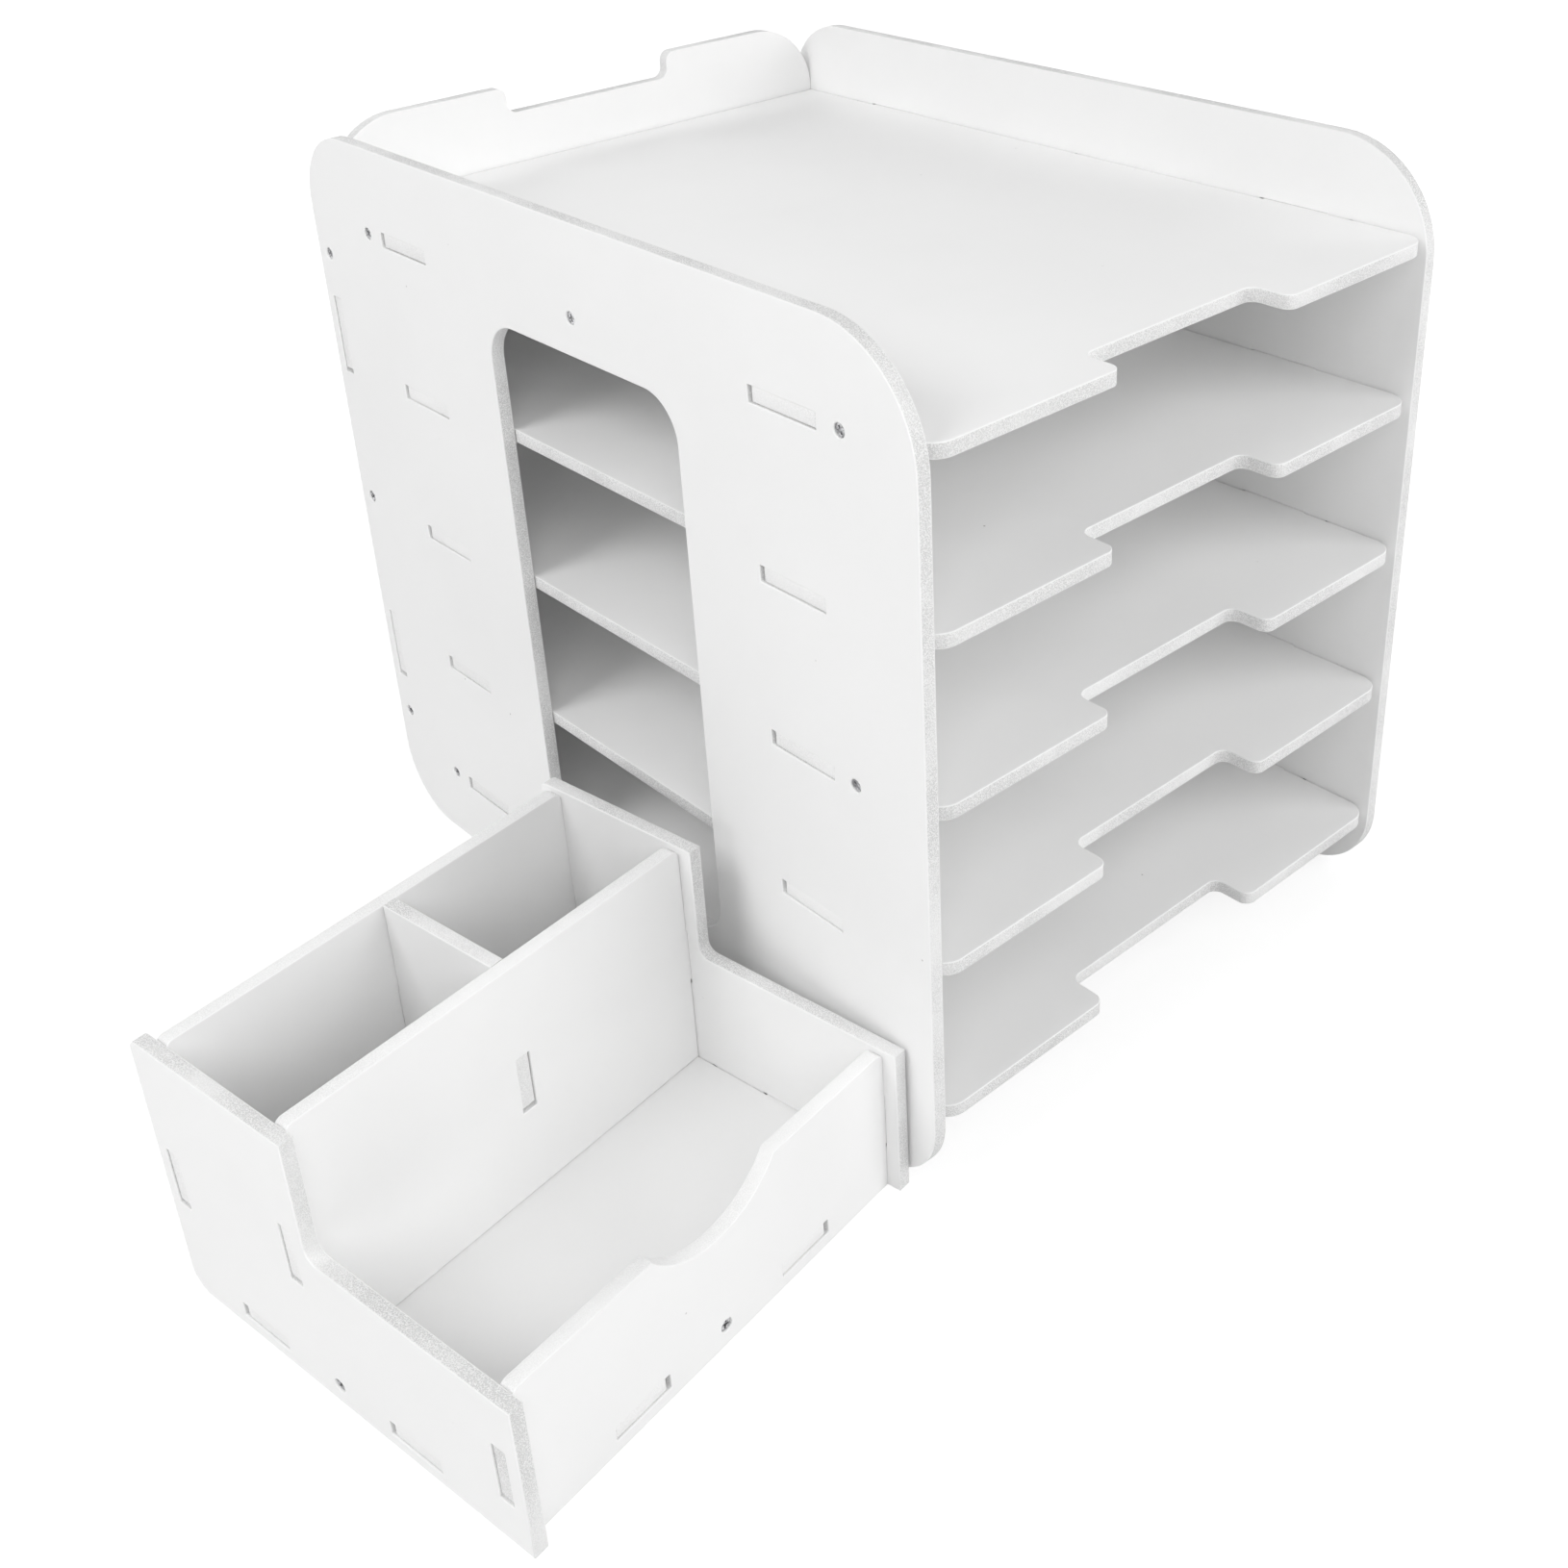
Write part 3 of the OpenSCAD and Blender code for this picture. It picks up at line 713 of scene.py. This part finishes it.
def bump(tree, at, height, shader, strength, distance):
    node = node_in(tree, "ShaderNodeBump", at)
    node.inputs["Strength"].default_value = strength
    node.inputs["Distance"].default_value = distance
    wired(tree, height, node.inputs["Height"])
    wired(tree, node.outputs["Normal"], shader.inputs["Normal"])


def shaded(value, share):
    return tuple(channel * share for channel in value)


def board_face_material(finish):
    """Smooth skin of the foam board, with a faint pebble, slow mottle and a few specks."""
    material, tree, shader = new_material("foam_board_face")
    mottle = placed_group(tree, "faint_mottle", (1, 0), patches_per_metre=finish.mottle)
    specks = placed_group(tree, "board_specks", (1, 2), spots_per_metre=1 / finish.speck_spacing,
                          spot_size=finish.speck_size, share=finish.speck_share)
    tone = ranged(tree, (2, 0), mottle.outputs["Value"], *MOTTLE_SPAN)
    white = blend_colour(tree, (3, 0), tone, shaded(finish.face, FACE_SHADE), finish.face)
    speckled = blend_colour(tree, (5, 0), specks.outputs["Mask"], white, finish.speck)
    wired(tree, speckled, shader.inputs["Base Color"])
    dull = ranged(tree, (5, 2), mottle.outputs["Value"], *MOTTLE_SPAN, *FACE_ROUGHNESS)
    wired(tree, dull, shader.inputs["Roughness"])
    place = node_in(tree, "ShaderNodeTexCoord", (1, 4)).outputs["Object"]
    pebble = node_in(tree, "ShaderNodeTexNoise", (3, 4))
    pebble.inputs["Scale"].default_value = finish.pebble
    pebble.inputs["Detail"].default_value = 2.0
    wired(tree, place, pebble.inputs["Vector"])
    bump(tree, (5, 4), pebble.outputs["Fac"], shader, strength=0.18, distance=0.0001)
    shader.inputs["Specular IOR Level"].default_value = FACE_SPECULAR
    return material


def cut_edge_material(finish):
    """Cut edge of the foam board: open cells between two thin skins, the skins a little paler than the face
    so that they also paint a faint highlight along the rims.
    """
    material, tree, shader = new_material("foam_board_cut_edge")
    cells = placed_group(tree, "foam_cells", (1, 0), cells_per_metre=1 / finish.cell_size,
                         patches_per_metre=finish.cell_patches)
    across = node_in(tree, "ShaderNodeAttribute", (1, 3), attribute_name="across")
    away = value_node(tree, "ABSOLUTE", (2, 3), across.outputs["Fac"], 0.0)
    core = ranged(tree, (3, 3), away, finish.skin, finish.skin + SKIN_FADE, 1.0, 0.0)
    shown = node_in(tree, "ShaderNodeAttribute", (1, 5), attribute_name="cells")
    core = value_node(tree, "MULTIPLY", (4, 3), core, shown.outputs["Fac"])
    dark = value_node(tree, "SUBTRACT", (3, 1), 1.0, cells.outputs["Shade"])
    grey = ranged(tree, (4, 1), dark, 0.0, 1.0, 0.0, 0.9)
    mask = value_node(tree, "MULTIPLY", (5, 1), grey, core)
    mottle = placed_group(tree, "faint_mottle", (1, 7), patches_per_metre=finish.torn_patches)
    torn = ranged(tree, (2, 7), mottle.outputs["Value"], *MOTTLE_SPAN, *TORN_SHARES)
    mask = value_node(tree, "MULTIPLY", (6, 1), mask, torn, clamp=True)
    # Where no cells show, the skins' colour, a little paler than the face: their own white plus a painted
    # highlight along the rims
    wired(tree, blend_colour(tree, (5, 1), mask, finish.cut, finish.cell), shader.inputs["Base Color"])
    wired(tree, ranged(tree, (5, 3), mask, 0.0, 1.0, *CUT_ROUGHNESS), shader.inputs["Roughness"])
    height = value_node(tree, "MULTIPLY", (5, 5), cells.outputs["Height"], core)
    bump(tree, (6, 5), height, shader, strength=0.6, distance=0.0002)
    shader.inputs["Specular IOR Level"].default_value = CUT_SPECULAR
    return material


def screw_material(finish):
    """Dull dark steel with worn tones."""
    material, tree, shader = new_material("dark_screw_steel")
    mottle = placed_group(tree, "faint_mottle", (1, 0), patches_per_metre=finish.screw_mottle)
    tone = ranged(tree, (2, 0), mottle.outputs["Value"], 0.35, 0.65)
    dark, bright = (shaded(finish.screw, shade) for shade in SCREW_SHADES)
    wired(tree, blend_colour(tree, (3, 0), tone, dark, bright), shader.inputs["Base Color"])
    dull = ranged(tree, (3, 2), mottle.outputs["Value"], *MOTTLE_SPAN, *SCREW_ROUGHNESS)
    wired(tree, dull, shader.inputs["Roughness"])
    shader.inputs["Metallic"].default_value = 1.0
    bump(tree, (5, 4), mottle.outputs["Value"], shader, strength=0.3, distance=0.0001)
    return material


def background_rays(tree):
    """1 for the rays that show the background itself: to the camera, in a reflection or through glass."""
    rays = node_in(tree, "ShaderNodeLightPath", (1, -3)).outputs
    seen = value_node(tree, "MAXIMUM", (3, -3), rays["Is Camera Ray"], rays["Is Glossy Ray"])
    return value_node(tree, "MAXIMUM", (4, -3), seen, rays["Is Transmission Ray"])


def floor_material():
    """Pale floor that shows white to the camera, with the object's shadow on it."""
    material = bpy.data.materials.new("studio_floor")
    material.use_nodes = True
    tree = material.node_tree
    tree.nodes.clear()
    out = node_in(tree, "ShaderNodeOutputMaterial", (6, 0))
    plain = node_in(tree, "ShaderNodeBsdfDiffuse", (1, 0))
    seen = node_in(tree, "ShaderNodeBsdfDiffuse", (1, 2))
    for node, grey in ((plain, FLOOR_GREY), (seen, SEEN_GREY)):
        node.inputs["Color"].default_value = (grey, grey, grey, 1.0)
    lift = node_in(tree, "ShaderNodeEmission", (1, 4))
    place = node_in(tree, "ShaderNodeTexCoord", (-3, 4)).outputs["Object"]
    away = node_in(tree, "ShaderNodeVectorMath", (-2, 4), operation="LENGTH")
    wired(tree, place, away.inputs[0])
    paler = ranged(tree, (-1, 4), away.outputs["Value"], *FLOOR_WHITENS, *FLOOR_LIFTS)
    wired(tree, paler, lift.inputs["Strength"])
    both = node_in(tree, "ShaderNodeAddShader", (3, 2))
    mix = node_in(tree, "ShaderNodeMixShader", (5, 0))
    wired(tree, seen.outputs["BSDF"], both.inputs[0])
    wired(tree, lift.outputs["Emission"], both.inputs[1])
    wired(tree, background_rays(tree), mix.inputs["Fac"])
    wired(tree, plain.outputs["BSDF"], mix.inputs[1])
    wired(tree, both.outputs["Shader"], mix.inputs[2])
    wired(tree, mix.outputs["Shader"], out.inputs["Surface"])
    return material


# Screws, placed in their holes by Geometry Nodes

def screw_mesh(screws):
    """One screw along Z, driven in from z = 0, with a cross in its head."""
    shell = Shell()
    r, half_l, half_w = screws.head_d / 2, screws.cross_l / 2, screws.cross_w / 2
    cross = anticlockwise([(half_w, -half_l), (half_w, -half_w), (half_l, -half_w), (half_l, half_w),
                           (half_w, half_w), (half_w, half_l), (-half_w, half_l), (-half_w, half_w),
                           (-half_l, half_w), (-half_l, -half_w), (-half_w, -half_w), (-half_w, -half_l)])
    top, bottom = screws.sunk, screws.sunk + screws.head_h
    point = bottom + screws.shank_l
    shank_r = screws.shank_d / 2
    profile = [(r - screws.head_edge, top), (r, top + screws.head_edge), (r, bottom), (shank_r, bottom),
               (shank_r, point - screws.point_l), (screws.point_d / 2, point)]
    rings = [shell.ring(circle(0, 0, radius, SCREW_STEPS), z, 0) for radius, z in profile]
    for low, high in zip(rings, rings[1:]):
        shell.bridge(low, high)
    lip = shell.ring(cross[::-1], top, 0)
    floor = shell.ring(cross[::-1], top + screws.cross_d, 0)
    shell.bridge(lip, floor)
    shell.cap([rings[0], lip], upward=False)
    shell.cap([floor], upward=False)
    shell.cap([rings[-1]], upward=True)
    return shell.mesh("single_screw", Matrix.Identity(4), [bpy.data.materials["dark_screw_steel"]])


def screw_tree():
    """Geometry Nodes tree that drives a screw in at each point, along the point's own direction."""
    tree = bpy.data.node_groups.new("screws_in_their_holes", "GeometryNodeTree")
    inputs = (("Geometry", "Geometry"), ("Screw", "Object"), ("Largest Spin", "Float"), ("Seed", "Int"),
              ("Material", "Material"))
    for label, kind in inputs:
        tree.interface.new_socket(label, in_out="INPUT", socket_type="NodeSocket" + kind)
    tree.interface.new_socket("Geometry", in_out="OUTPUT", socket_type="NodeSocketGeometry")
    given = node_in(tree, "NodeGroupInput", (0, 0))
    out = node_in(tree, "NodeGroupOutput", (9, 0))
    screw = node_in(tree, "GeometryNodeObjectInfo", (2, 2), transform_space="ORIGINAL")
    inward = node_in(tree, "GeometryNodeInputNamedAttribute", (1, 4), data_type="FLOAT_VECTOR")
    inward.inputs["Name"].default_value = "inward"
    aim = node_in(tree, "FunctionNodeAlignRotationToVector", (3, 4), axis="Z")
    spin = node_in(tree, "FunctionNodeRandomValue", (2, 6), data_type="FLOAT")
    about = node_in(tree, "FunctionNodeAxisAngleToRotation", (4, 6))
    about.inputs["Axis"].default_value = (0, 0, 1)
    turned = node_in(tree, "FunctionNodeRotateRotation", (5, 4), rotation_space="LOCAL")
    put = node_in(tree, "GeometryNodeInstanceOnPoints", (6, 0))
    real = node_in(tree, "GeometryNodeRealizeInstances", (7, 0))
    paint = node_in(tree, "GeometryNodeSetMaterial", (8, 0))
    wired(tree, given.outputs["Screw"], screw.inputs["Object"])
    wired(tree, inward.outputs["Attribute"], aim.inputs["Vector"])
    wired(tree, given.outputs["Seed"], spin.inputs["Seed"])
    wired(tree, given.outputs["Largest Spin"], spin.inputs[RANDOM_MAX])
    wired(tree, spin.outputs[RANDOM_VALUE], about.inputs["Angle"])
    wired(tree, aim.outputs["Rotation"], turned.inputs["Rotation"])
    wired(tree, about.outputs["Rotation"], turned.inputs["Rotate By"])
    wired(tree, given.outputs["Geometry"], put.inputs["Points"])
    wired(tree, screw.outputs["Geometry"], put.inputs["Instance"])
    wired(tree, turned.outputs["Rotation"], put.inputs["Rotation"])
    wired(tree, put.outputs["Instances"], real.inputs["Geometry"])
    wired(tree, real.outputs["Geometry"], paint.inputs["Geometry"])
    wired(tree, given.outputs["Material"], paint.inputs["Material"])
    wired(tree, paint.outputs["Geometry"], out.inputs["Geometry"])
    return tree


def shared_screw(scene):
    """The one screw that every set repeats, kept out of the scene."""
    found = bpy.data.objects.get("single_screw")
    return found or bpy.data.objects.new("single_screw", screw_mesh(scene.rack_screws))


def screw_set(context, name, body, node, spots):
    """Screws at spots (point, inward direction), as one plain mesh."""
    scene = context.scene
    tree = bpy.data.node_groups.get("screws_in_their_holes") or screw_tree()
    points = bpy.data.meshes.new(name + "_spots")
    points.from_pydata([tuple(p) for p, _ in spots], [], [])
    inward = points.attributes.new("inward", "FLOAT_VECTOR", "POINT")
    inward.data.foreach_set("vector", [c for _, direction in spots for c in direction])
    holder = bpy.data.objects.new(name + "_spots", points)
    scene.collection.objects.link(holder)
    modifier = holder.modifiers.new("Screws", "NODES")
    modifier.node_group = tree
    values = {
        "Screw": shared_screw(scene),
        "Largest Spin": scene.rack_screws.spin,
        "Seed": scene.rack_screws.seed + len(name),
        "Material": bpy.data.materials["dark_screw_steel"],
    }
    for item in tree.interface.items_tree:
        if item.in_out == "INPUT" and item.name in values:
            modifier[item.identifier] = values[item.name]
    evaluated = holder.evaluated_get(context.evaluated_depsgraph_get())
    mesh = bpy.data.meshes.new_from_object(evaluated)
    mesh.name = name
    holder.modifiers.remove(modifier)
    bpy.data.objects.remove(holder)
    if len(mesh.polygons) == 0:
        raise RuntimeError(f"{name} came out empty")
    return finished(mesh, name, body, [node])


# Operators, one for each piece or group of like pieces

class LETTERRACK_OT_finishes(bpy.types.Operator):
    """Make the foam board's and the screws' materials"""
    bl_idname = "letter_rack.finishes"
    bl_label = "Make Finishes"

    def execute(self, context):
        foam_cells_group()
        specks_group()
        mottle_group()
        finish = context.scene.rack_finish
        for make in (board_face_material, cut_edge_material, screw_material):
            make(finish)
        return {"FINISHED"}


class LETTERRACK_OT_side_panels(bpy.types.Operator):
    """Cut both side panels with their windows, slots and screw holes"""
    bl_idname = "letter_rack.side_panels"
    bl_label = "Cut Side Panels"

    def execute(self, context):
        scene = context.scene
        board, rack = scene.rack_board, scene.rack_sizes
        outline = rounded([(0, 0, rack.panel_r), (rack.depth, 0, rack.panel_r),
                           (rack.depth, rack.height, rack.panel_r), (0, rack.height, rack.front_top_r)])
        heights = shelf_heights(scene)
        low, high = heights[0] + rack.sill_gap, heights[-1] - rack.window_gap
        window_y = (shelf_depth(scene) - rack.window_w) / 2
        holes = [rectangle(window_y, low, rack.window_w, high - low, rack.window_r)]
        holes += [lying_slot(board, y, z, rack.shelf_tab) for z in heights for y in shelf_tab_starts(scene)]
        holes += [upright_slot(board, shelf_depth(scene), z, rack.back_tab) for z in back_tab_starts(scene)]
        for y, z in shelf_screw_spots(scene) + back_screw_spots(scene):
            holes.append(circle(y, z, scene.rack_screws.hole_d / 2))
        left = rack_place(scene) @ axes(Y, Z, X)
        right = rack_place(scene) @ axes(Y, Z, MINUS_X, (rack.width, 0, 0))
        for side, place in (("left", left), ("right", right)):
            cut_board(context, side + "_side_board", RACK, side + "_side_panel", place, outline, holes, ())
        return {"FINISHED"}


class LETTERRACK_OT_back_panel(bpy.types.Operator):
    """Cut the back panel with the dip in its top edge and its tabs"""
    bl_idname = "letter_rack.back_panel"
    bl_label = "Cut Back Panel"

    def execute(self, context):
        scene = context.scene
        board, rack = scene.rack_board, scene.rack_sizes
        sides, top = between_panels(board, 0, rack.width), rack.height
        dip = [(rack.width / 2 + s * rack.dip_w / 2, z, rack.dip_r)
               for s, z in ((1, top), (1, top - rack.dip_d), (-1, top - rack.dip_d), (-1, top))]
        lower, upper = (0, rack.panel_r, []), (top, rack.panel_r, dip)
        outline = tabbed_outline(board, 0, sides, lower, upper, back_tab_starts(scene), rack.back_tab)
        place = rack_place(scene) @ axes(X, Z, Y, (0, shelf_depth(scene), 0))
        cut_board(context, "back_board", RACK, "back_panel", place, outline)
        return {"FINISHED"}


class LETTERRACK_OT_shelves(bpy.types.Operator):
    """Cut the shelves with their finger notches and tabs"""
    bl_idname = "letter_rack.shelves"
    bl_label = "Cut Shelves"

    def execute(self, context):
        scene = context.scene
        board, rack = scene.rack_board, scene.rack_sizes
        seam = rack.seam
        sides = between_panels(board, seam, rack.width)
        notch = [(rack.width / 2 + s * rack.notch_w / 2, y, rack.notch_r)
                 for s, y in ((-1, 0), (-1, rack.notch_d), (1, rack.notch_d), (1, 0))]
        front, rear = (0, rack.shelf_r, notch), (shelf_depth(scene) - seam, 0, [])
        outline = tabbed_outline(board, seam, sides, front, rear, shelf_tab_starts(scene), rack.shelf_tab)
        for node, z in zip(SHELF_NODES, shelf_heights(scene)):
            place = rack_place(scene) @ axes(X, Y, Z, (0, 0, z))
            cut_board(context, node + "_board", RACK, node, place, outline)
        return {"FINISHED"}


class LETTERRACK_OT_rack_screws(bpy.types.Operator):
    """Drive the screws into the rack's side panels"""
    bl_idname = "letter_rack.rack_screws"
    bl_label = "Drive Rack Screws"

    def execute(self, context):
        scene = context.scene
        place, width = rack_place(scene), scene.rack_sizes.width
        for kind, spots in (("shelf", shelf_screw_spots(scene)), ("back", back_screw_spots(scene))):
            for side, x, inward in (("left", 0, 1), ("right", width, -1)):
                node = f"{side}_{kind}_screws"
                screw_set(context, node + "_set", RACK, node,
                          [(place @ Vector((x, y, z)), (inward, 0, 0)) for y, z in spots])
        return {"FINISHED"}


class LETTERRACK_OT_box_ends(bpy.types.Operator):
    """Cut the pen box's two stepped end panels"""
    bl_idname = "letter_rack.box_ends"
    bl_label = "Cut Box Ends"

    def execute(self, context):
        scene = context.scene
        board, box, at = scene.rack_board, scene.rack_box, box_values(scene)
        outline = rounded([(0, 0, 0), (box.width, 0, box.foot_r), (box.width, box.height, box.soft_r),
                           (box.step_w, box.height, 0), (box.step_w, box.low_height, box.step_r),
                           (0, box.low_height, 0)])
        holes = [upright_slot(board, box.wall_inset, at["low_tab"], box.tab),
                 upright_slot(board, at["middle_y"], at["inner_tab"], box.tab),
                 upright_slot(board, at["tall_y"], at["tall_tab"], box.tab),
                 circle(at["end_mid"], at["floor_mid"], scene.rack_screws.hole_d / 2)]
        holes += [lying_slot(board, y, box.floor_lift, box.tab) for y in at["end_tabs"]]
        outer = box_place(scene) @ axes(Y, Z, X)
        inner = box_place(scene) @ axes(Y, Z, MINUS_X, (box.length, 0, 0))
        for node, place in (("box_outer_end", outer), ("box_inner_end", inner)):
            cut_board(context, node + "_board", BOX, node, place, outline, holes, ())
        return {"FINISHED"}


class LETTERRACK_OT_box_walls(bpy.types.Operator):
    """Cut the pen box's long walls and its divider"""
    bl_idname = "letter_rack.box_walls"
    bl_label = "Cut Box Walls"

    def execute(self, context):
        scene = context.scene
        board, box, at = scene.rack_board, scene.rack_box, box_values(scene)
        half = box.scoop_w / 2
        scoop_r = (half ** 2 + box.scoop_d ** 2) / (2 * box.scoop_d)
        floor_slots = [lying_slot(board, x, box.floor_lift, box.tab) for x in at["wall_tabs"]]
        screw = circle(box.length / 2, at["floor_mid"], scene.rack_screws.hole_d / 2)
        divider = upright_slot(board, at["divider_x"], at["inner_tab"], box.tab)
        centre, reach = at["low_top"] - box.scoop_d + scoop_r, math.asin(half / scoop_r)
        scoop = [(box.length / 2 + scoop_r * math.sin(a), centre - scoop_r * math.cos(a), 0)
                 for a in np.linspace(reach, -reach, SCOOP_POINTS)]
        on_floor = at["floor_top"] + box.seam
        slots = floor_slots + [screw]
        top, low_top, inner = at["wall_top"], at["low_top"], at["inner_tab"]
        # Each wall's node, seam, place, lower and upper edge, tab, dip in its upper edge, and holes
        walls = (
            ("box_tall_wall", 0, at["tall_y"], 0, top, at["tall_tab"], [], slots + [divider]),
            ("box_middle_wall", box.seam, at["middle_y"], on_floor, top, inner, [], [divider]),
            ("box_low_wall", 0, box.wall_inset, 0, low_top, at["low_tab"], scoop, slots),
        )
        for node, seam, y, low, high, tab, dip, holes in walls:
            sides = between_panels(board, seam, box.length)
            lower, upper = (low, 0, []), (high, box.soft_r, dip)
            outline = tabbed_outline(board, seam, sides, lower, upper, [tab], box.tab)
            place = box_place(scene) @ axes(X, Z, Y, (0, y, 0))
            cut_board(context, node + "_board", BOX, node, place, outline, holes)
        sides = at["middle_y"] + board.thickness + box.seam, at["tall_y"] - box.seam
        lower, upper = (on_floor, 0, []), (top, 0, [])
        outline = tabbed_outline(board, box.seam, sides, lower, upper, [inner], box.tab)
        place = box_place(scene) @ axes(Y, Z, X, (at["divider_x"], 0, 0))
        cut_board(context, "box_divider_board", BOX, "box_divider", place, outline)
        return {"FINISHED"}


class LETTERRACK_OT_box_floor(bpy.types.Operator):
    """Cut the pen box's floor with its tabs on every side"""
    bl_idname = "letter_rack.box_floor"
    bl_label = "Cut Box Floor"

    def execute(self, context):
        scene = context.scene
        board, box, at = scene.rack_board, scene.rack_box, box_values(scene)
        seam = box.seam
        left, right = between_panels(board, seam, box.length)
        front, rear = at["floor_y"] + seam, at["tall_y"] - seam
        ends, walls = at["end_tabs"], at["wall_tabs"]
        outline = rounded(
            [(left, front, 0)] + edge_with_tabs(board, seam, front, walls, box.tab, -1, False)
            + [(right, front, 0)] + edge_with_tabs(board, seam, right, ends, box.tab, 1, True)
            + [(right, rear, 0)] + edge_with_tabs(board, seam, rear, walls[::-1], box.tab, 1, False)
            + [(left, rear, 0)] + edge_with_tabs(board, seam, left, ends[::-1], box.tab, -1, True))
        place = box_place(scene) @ axes(X, Y, Z, (0, 0, box.floor_lift))
        cut_board(context, "box_floor_board", BOX, "box_floor", place, outline, (), (0, 1))
        return {"FINISHED"}


class LETTERRACK_OT_box_screws(bpy.types.Operator):
    """Drive the screws into the pen box"""
    bl_idname = "letter_rack.box_screws"
    bl_label = "Drive Box Screws"

    def execute(self, context):
        scene = context.scene
        board, box, at = scene.rack_board, scene.rack_box, box_values(scene)
        place = box_place(scene)
        middle_x, rear_face = box.length / 2, at["tall_y"] + board.thickness
        sets = {
            "box_end_screws": (((0, at["end_mid"]), (1, 0)), ((box.length, at["end_mid"]), (-1, 0))),
            "box_wall_screws": (((middle_x, box.wall_inset), (0, 1)), ((middle_x, rear_face), (0, -1))),
        }
        for node, ends in sets.items():
            spots = [(place @ Vector((*at_xy, at["floor_mid"])), place.to_3x3() @ Vector((*inward, 0)))
                     for at_xy, inward in ends]
            screw_set(context, node + "_set", BOX, node, spots)
        return {"FINISHED"}


class LETTERRACK_OT_studio(bpy.types.Operator):
    """Set up the floor, the soft lamps, the even sky and the camera"""
    bl_idname = "letter_rack.studio"
    bl_label = "Set Up Studio"

    def execute(self, context):
        scene = context.scene
        studio = scene.rack_studio
        mesh = bpy.data.meshes.new("studio_floor")
        corners = [(x * FLOOR_HALF, y * FLOOR_HALF, 0) for x, y in ((-1, -1), (1, -1), (1, 1), (-1, 1))]
        mesh.from_pydata(corners, [], [(0, 1, 2, 3)])
        mesh.materials.append(floor_material())
        floor = bpy.data.objects.new("studio_floor", mesh)
        scene.collection.objects.link(floor)
        for name, power, at, size in LAMPS:
            lamp = bpy.data.lights.new(name, "AREA")
            lamp.shape, lamp.size, lamp.energy = "DISK", size, getattr(studio, power)
            holder = bpy.data.objects.new(name, lamp)
            holder.location = at
            holder.rotation_euler = (LAMPS_AIM - Vector(at)).to_track_quat("-Z", "Y").to_euler()
            scene.collection.objects.link(holder)
        self.even_sky(scene, studio.sky)
        camera = bpy.data.cameras.new("camera")
        camera.sensor_width, camera.sensor_fit = SENSOR_WIDTH, "HORIZONTAL"
        camera.lens, (camera.shift_x, camera.shift_y) = studio.lens, studio.shift
        camera.clip_start = CLIP_START
        camera.dof.use_dof = False
        holder = bpy.data.objects.new("camera", camera)
        holder.location, holder.rotation_euler = studio.eye, studio.aim
        scene.collection.objects.link(holder)
        scene.camera = holder
        scene.view_settings.view_transform = "Standard"
        return {"FINISHED"}

    def even_sky(self, scene, strength):
        """Even light from all round, which looks plain white itself."""
        world = scene.world or bpy.data.worlds.new("studio_sky")
        scene.world = world
        world.use_nodes = True
        tree = world.node_tree
        tree.nodes.clear()
        out = node_in(tree, "ShaderNodeOutputWorld", (6, 0))
        light = node_in(tree, "ShaderNodeBackground", (1, 0))
        light.inputs["Strength"].default_value = strength
        seen = node_in(tree, "ShaderNodeBackground", (1, 2))
        light.inputs["Color"].default_value = seen.inputs["Color"].default_value = (1, 1, 1, 1)
        mix = node_in(tree, "ShaderNodeMixShader", (5, 0))
        wired(tree, background_rays(tree), mix.inputs["Fac"])
        wired(tree, light.outputs["Background"], mix.inputs[1])
        wired(tree, seen.outputs["Background"], mix.inputs[2])
        wired(tree, mix.outputs["Shader"], out.inputs["Surface"])


class LETTERRACK_PT_panel(bpy.types.Panel):
    """Lists the steps and the sizes of the letter rack"""
    bl_idname = "LETTERRACK_PT_panel"
    bl_label = "Letter Rack"
    bl_space_type = "VIEW_3D"
    bl_region_type = "UI"
    bl_category = "Letter Rack"

    def draw(self, context):
        for step in STEPS:
            self.layout.operator(step.bl_idname)
        for setting in SETTINGS:
            group = getattr(context.scene, setting)
            part = self.layout.box()
            for label in group.__annotations__:
                part.prop(group, label)


STEPS = (
    LETTERRACK_OT_finishes,
    LETTERRACK_OT_side_panels,
    LETTERRACK_OT_back_panel,
    LETTERRACK_OT_shelves,
    LETTERRACK_OT_rack_screws,
    LETTERRACK_OT_box_ends,
    LETTERRACK_OT_box_walls,
    LETTERRACK_OT_box_floor,
    LETTERRACK_OT_box_screws,
    LETTERRACK_OT_studio,
)
CLASSES = (*SETTINGS.values(), *STEPS, LETTERRACK_PT_panel)


def register():
    for cls in CLASSES:
        bpy.utils.register_class(cls)
    for setting, group in SETTINGS.items():
        setattr(bpy.types.Scene, setting, PointerProperty(type=group))


def unregister():
    for setting in SETTINGS:
        delattr(bpy.types.Scene, setting)
    for cls in reversed(CLASSES):
        bpy.utils.unregister_class(cls)


def main():
    register()
    for step in STEPS:
        group, name = step.bl_idname.split(".")
        getattr(getattr(bpy.ops, group), name)()


if __name__ == "__main__":
    main()
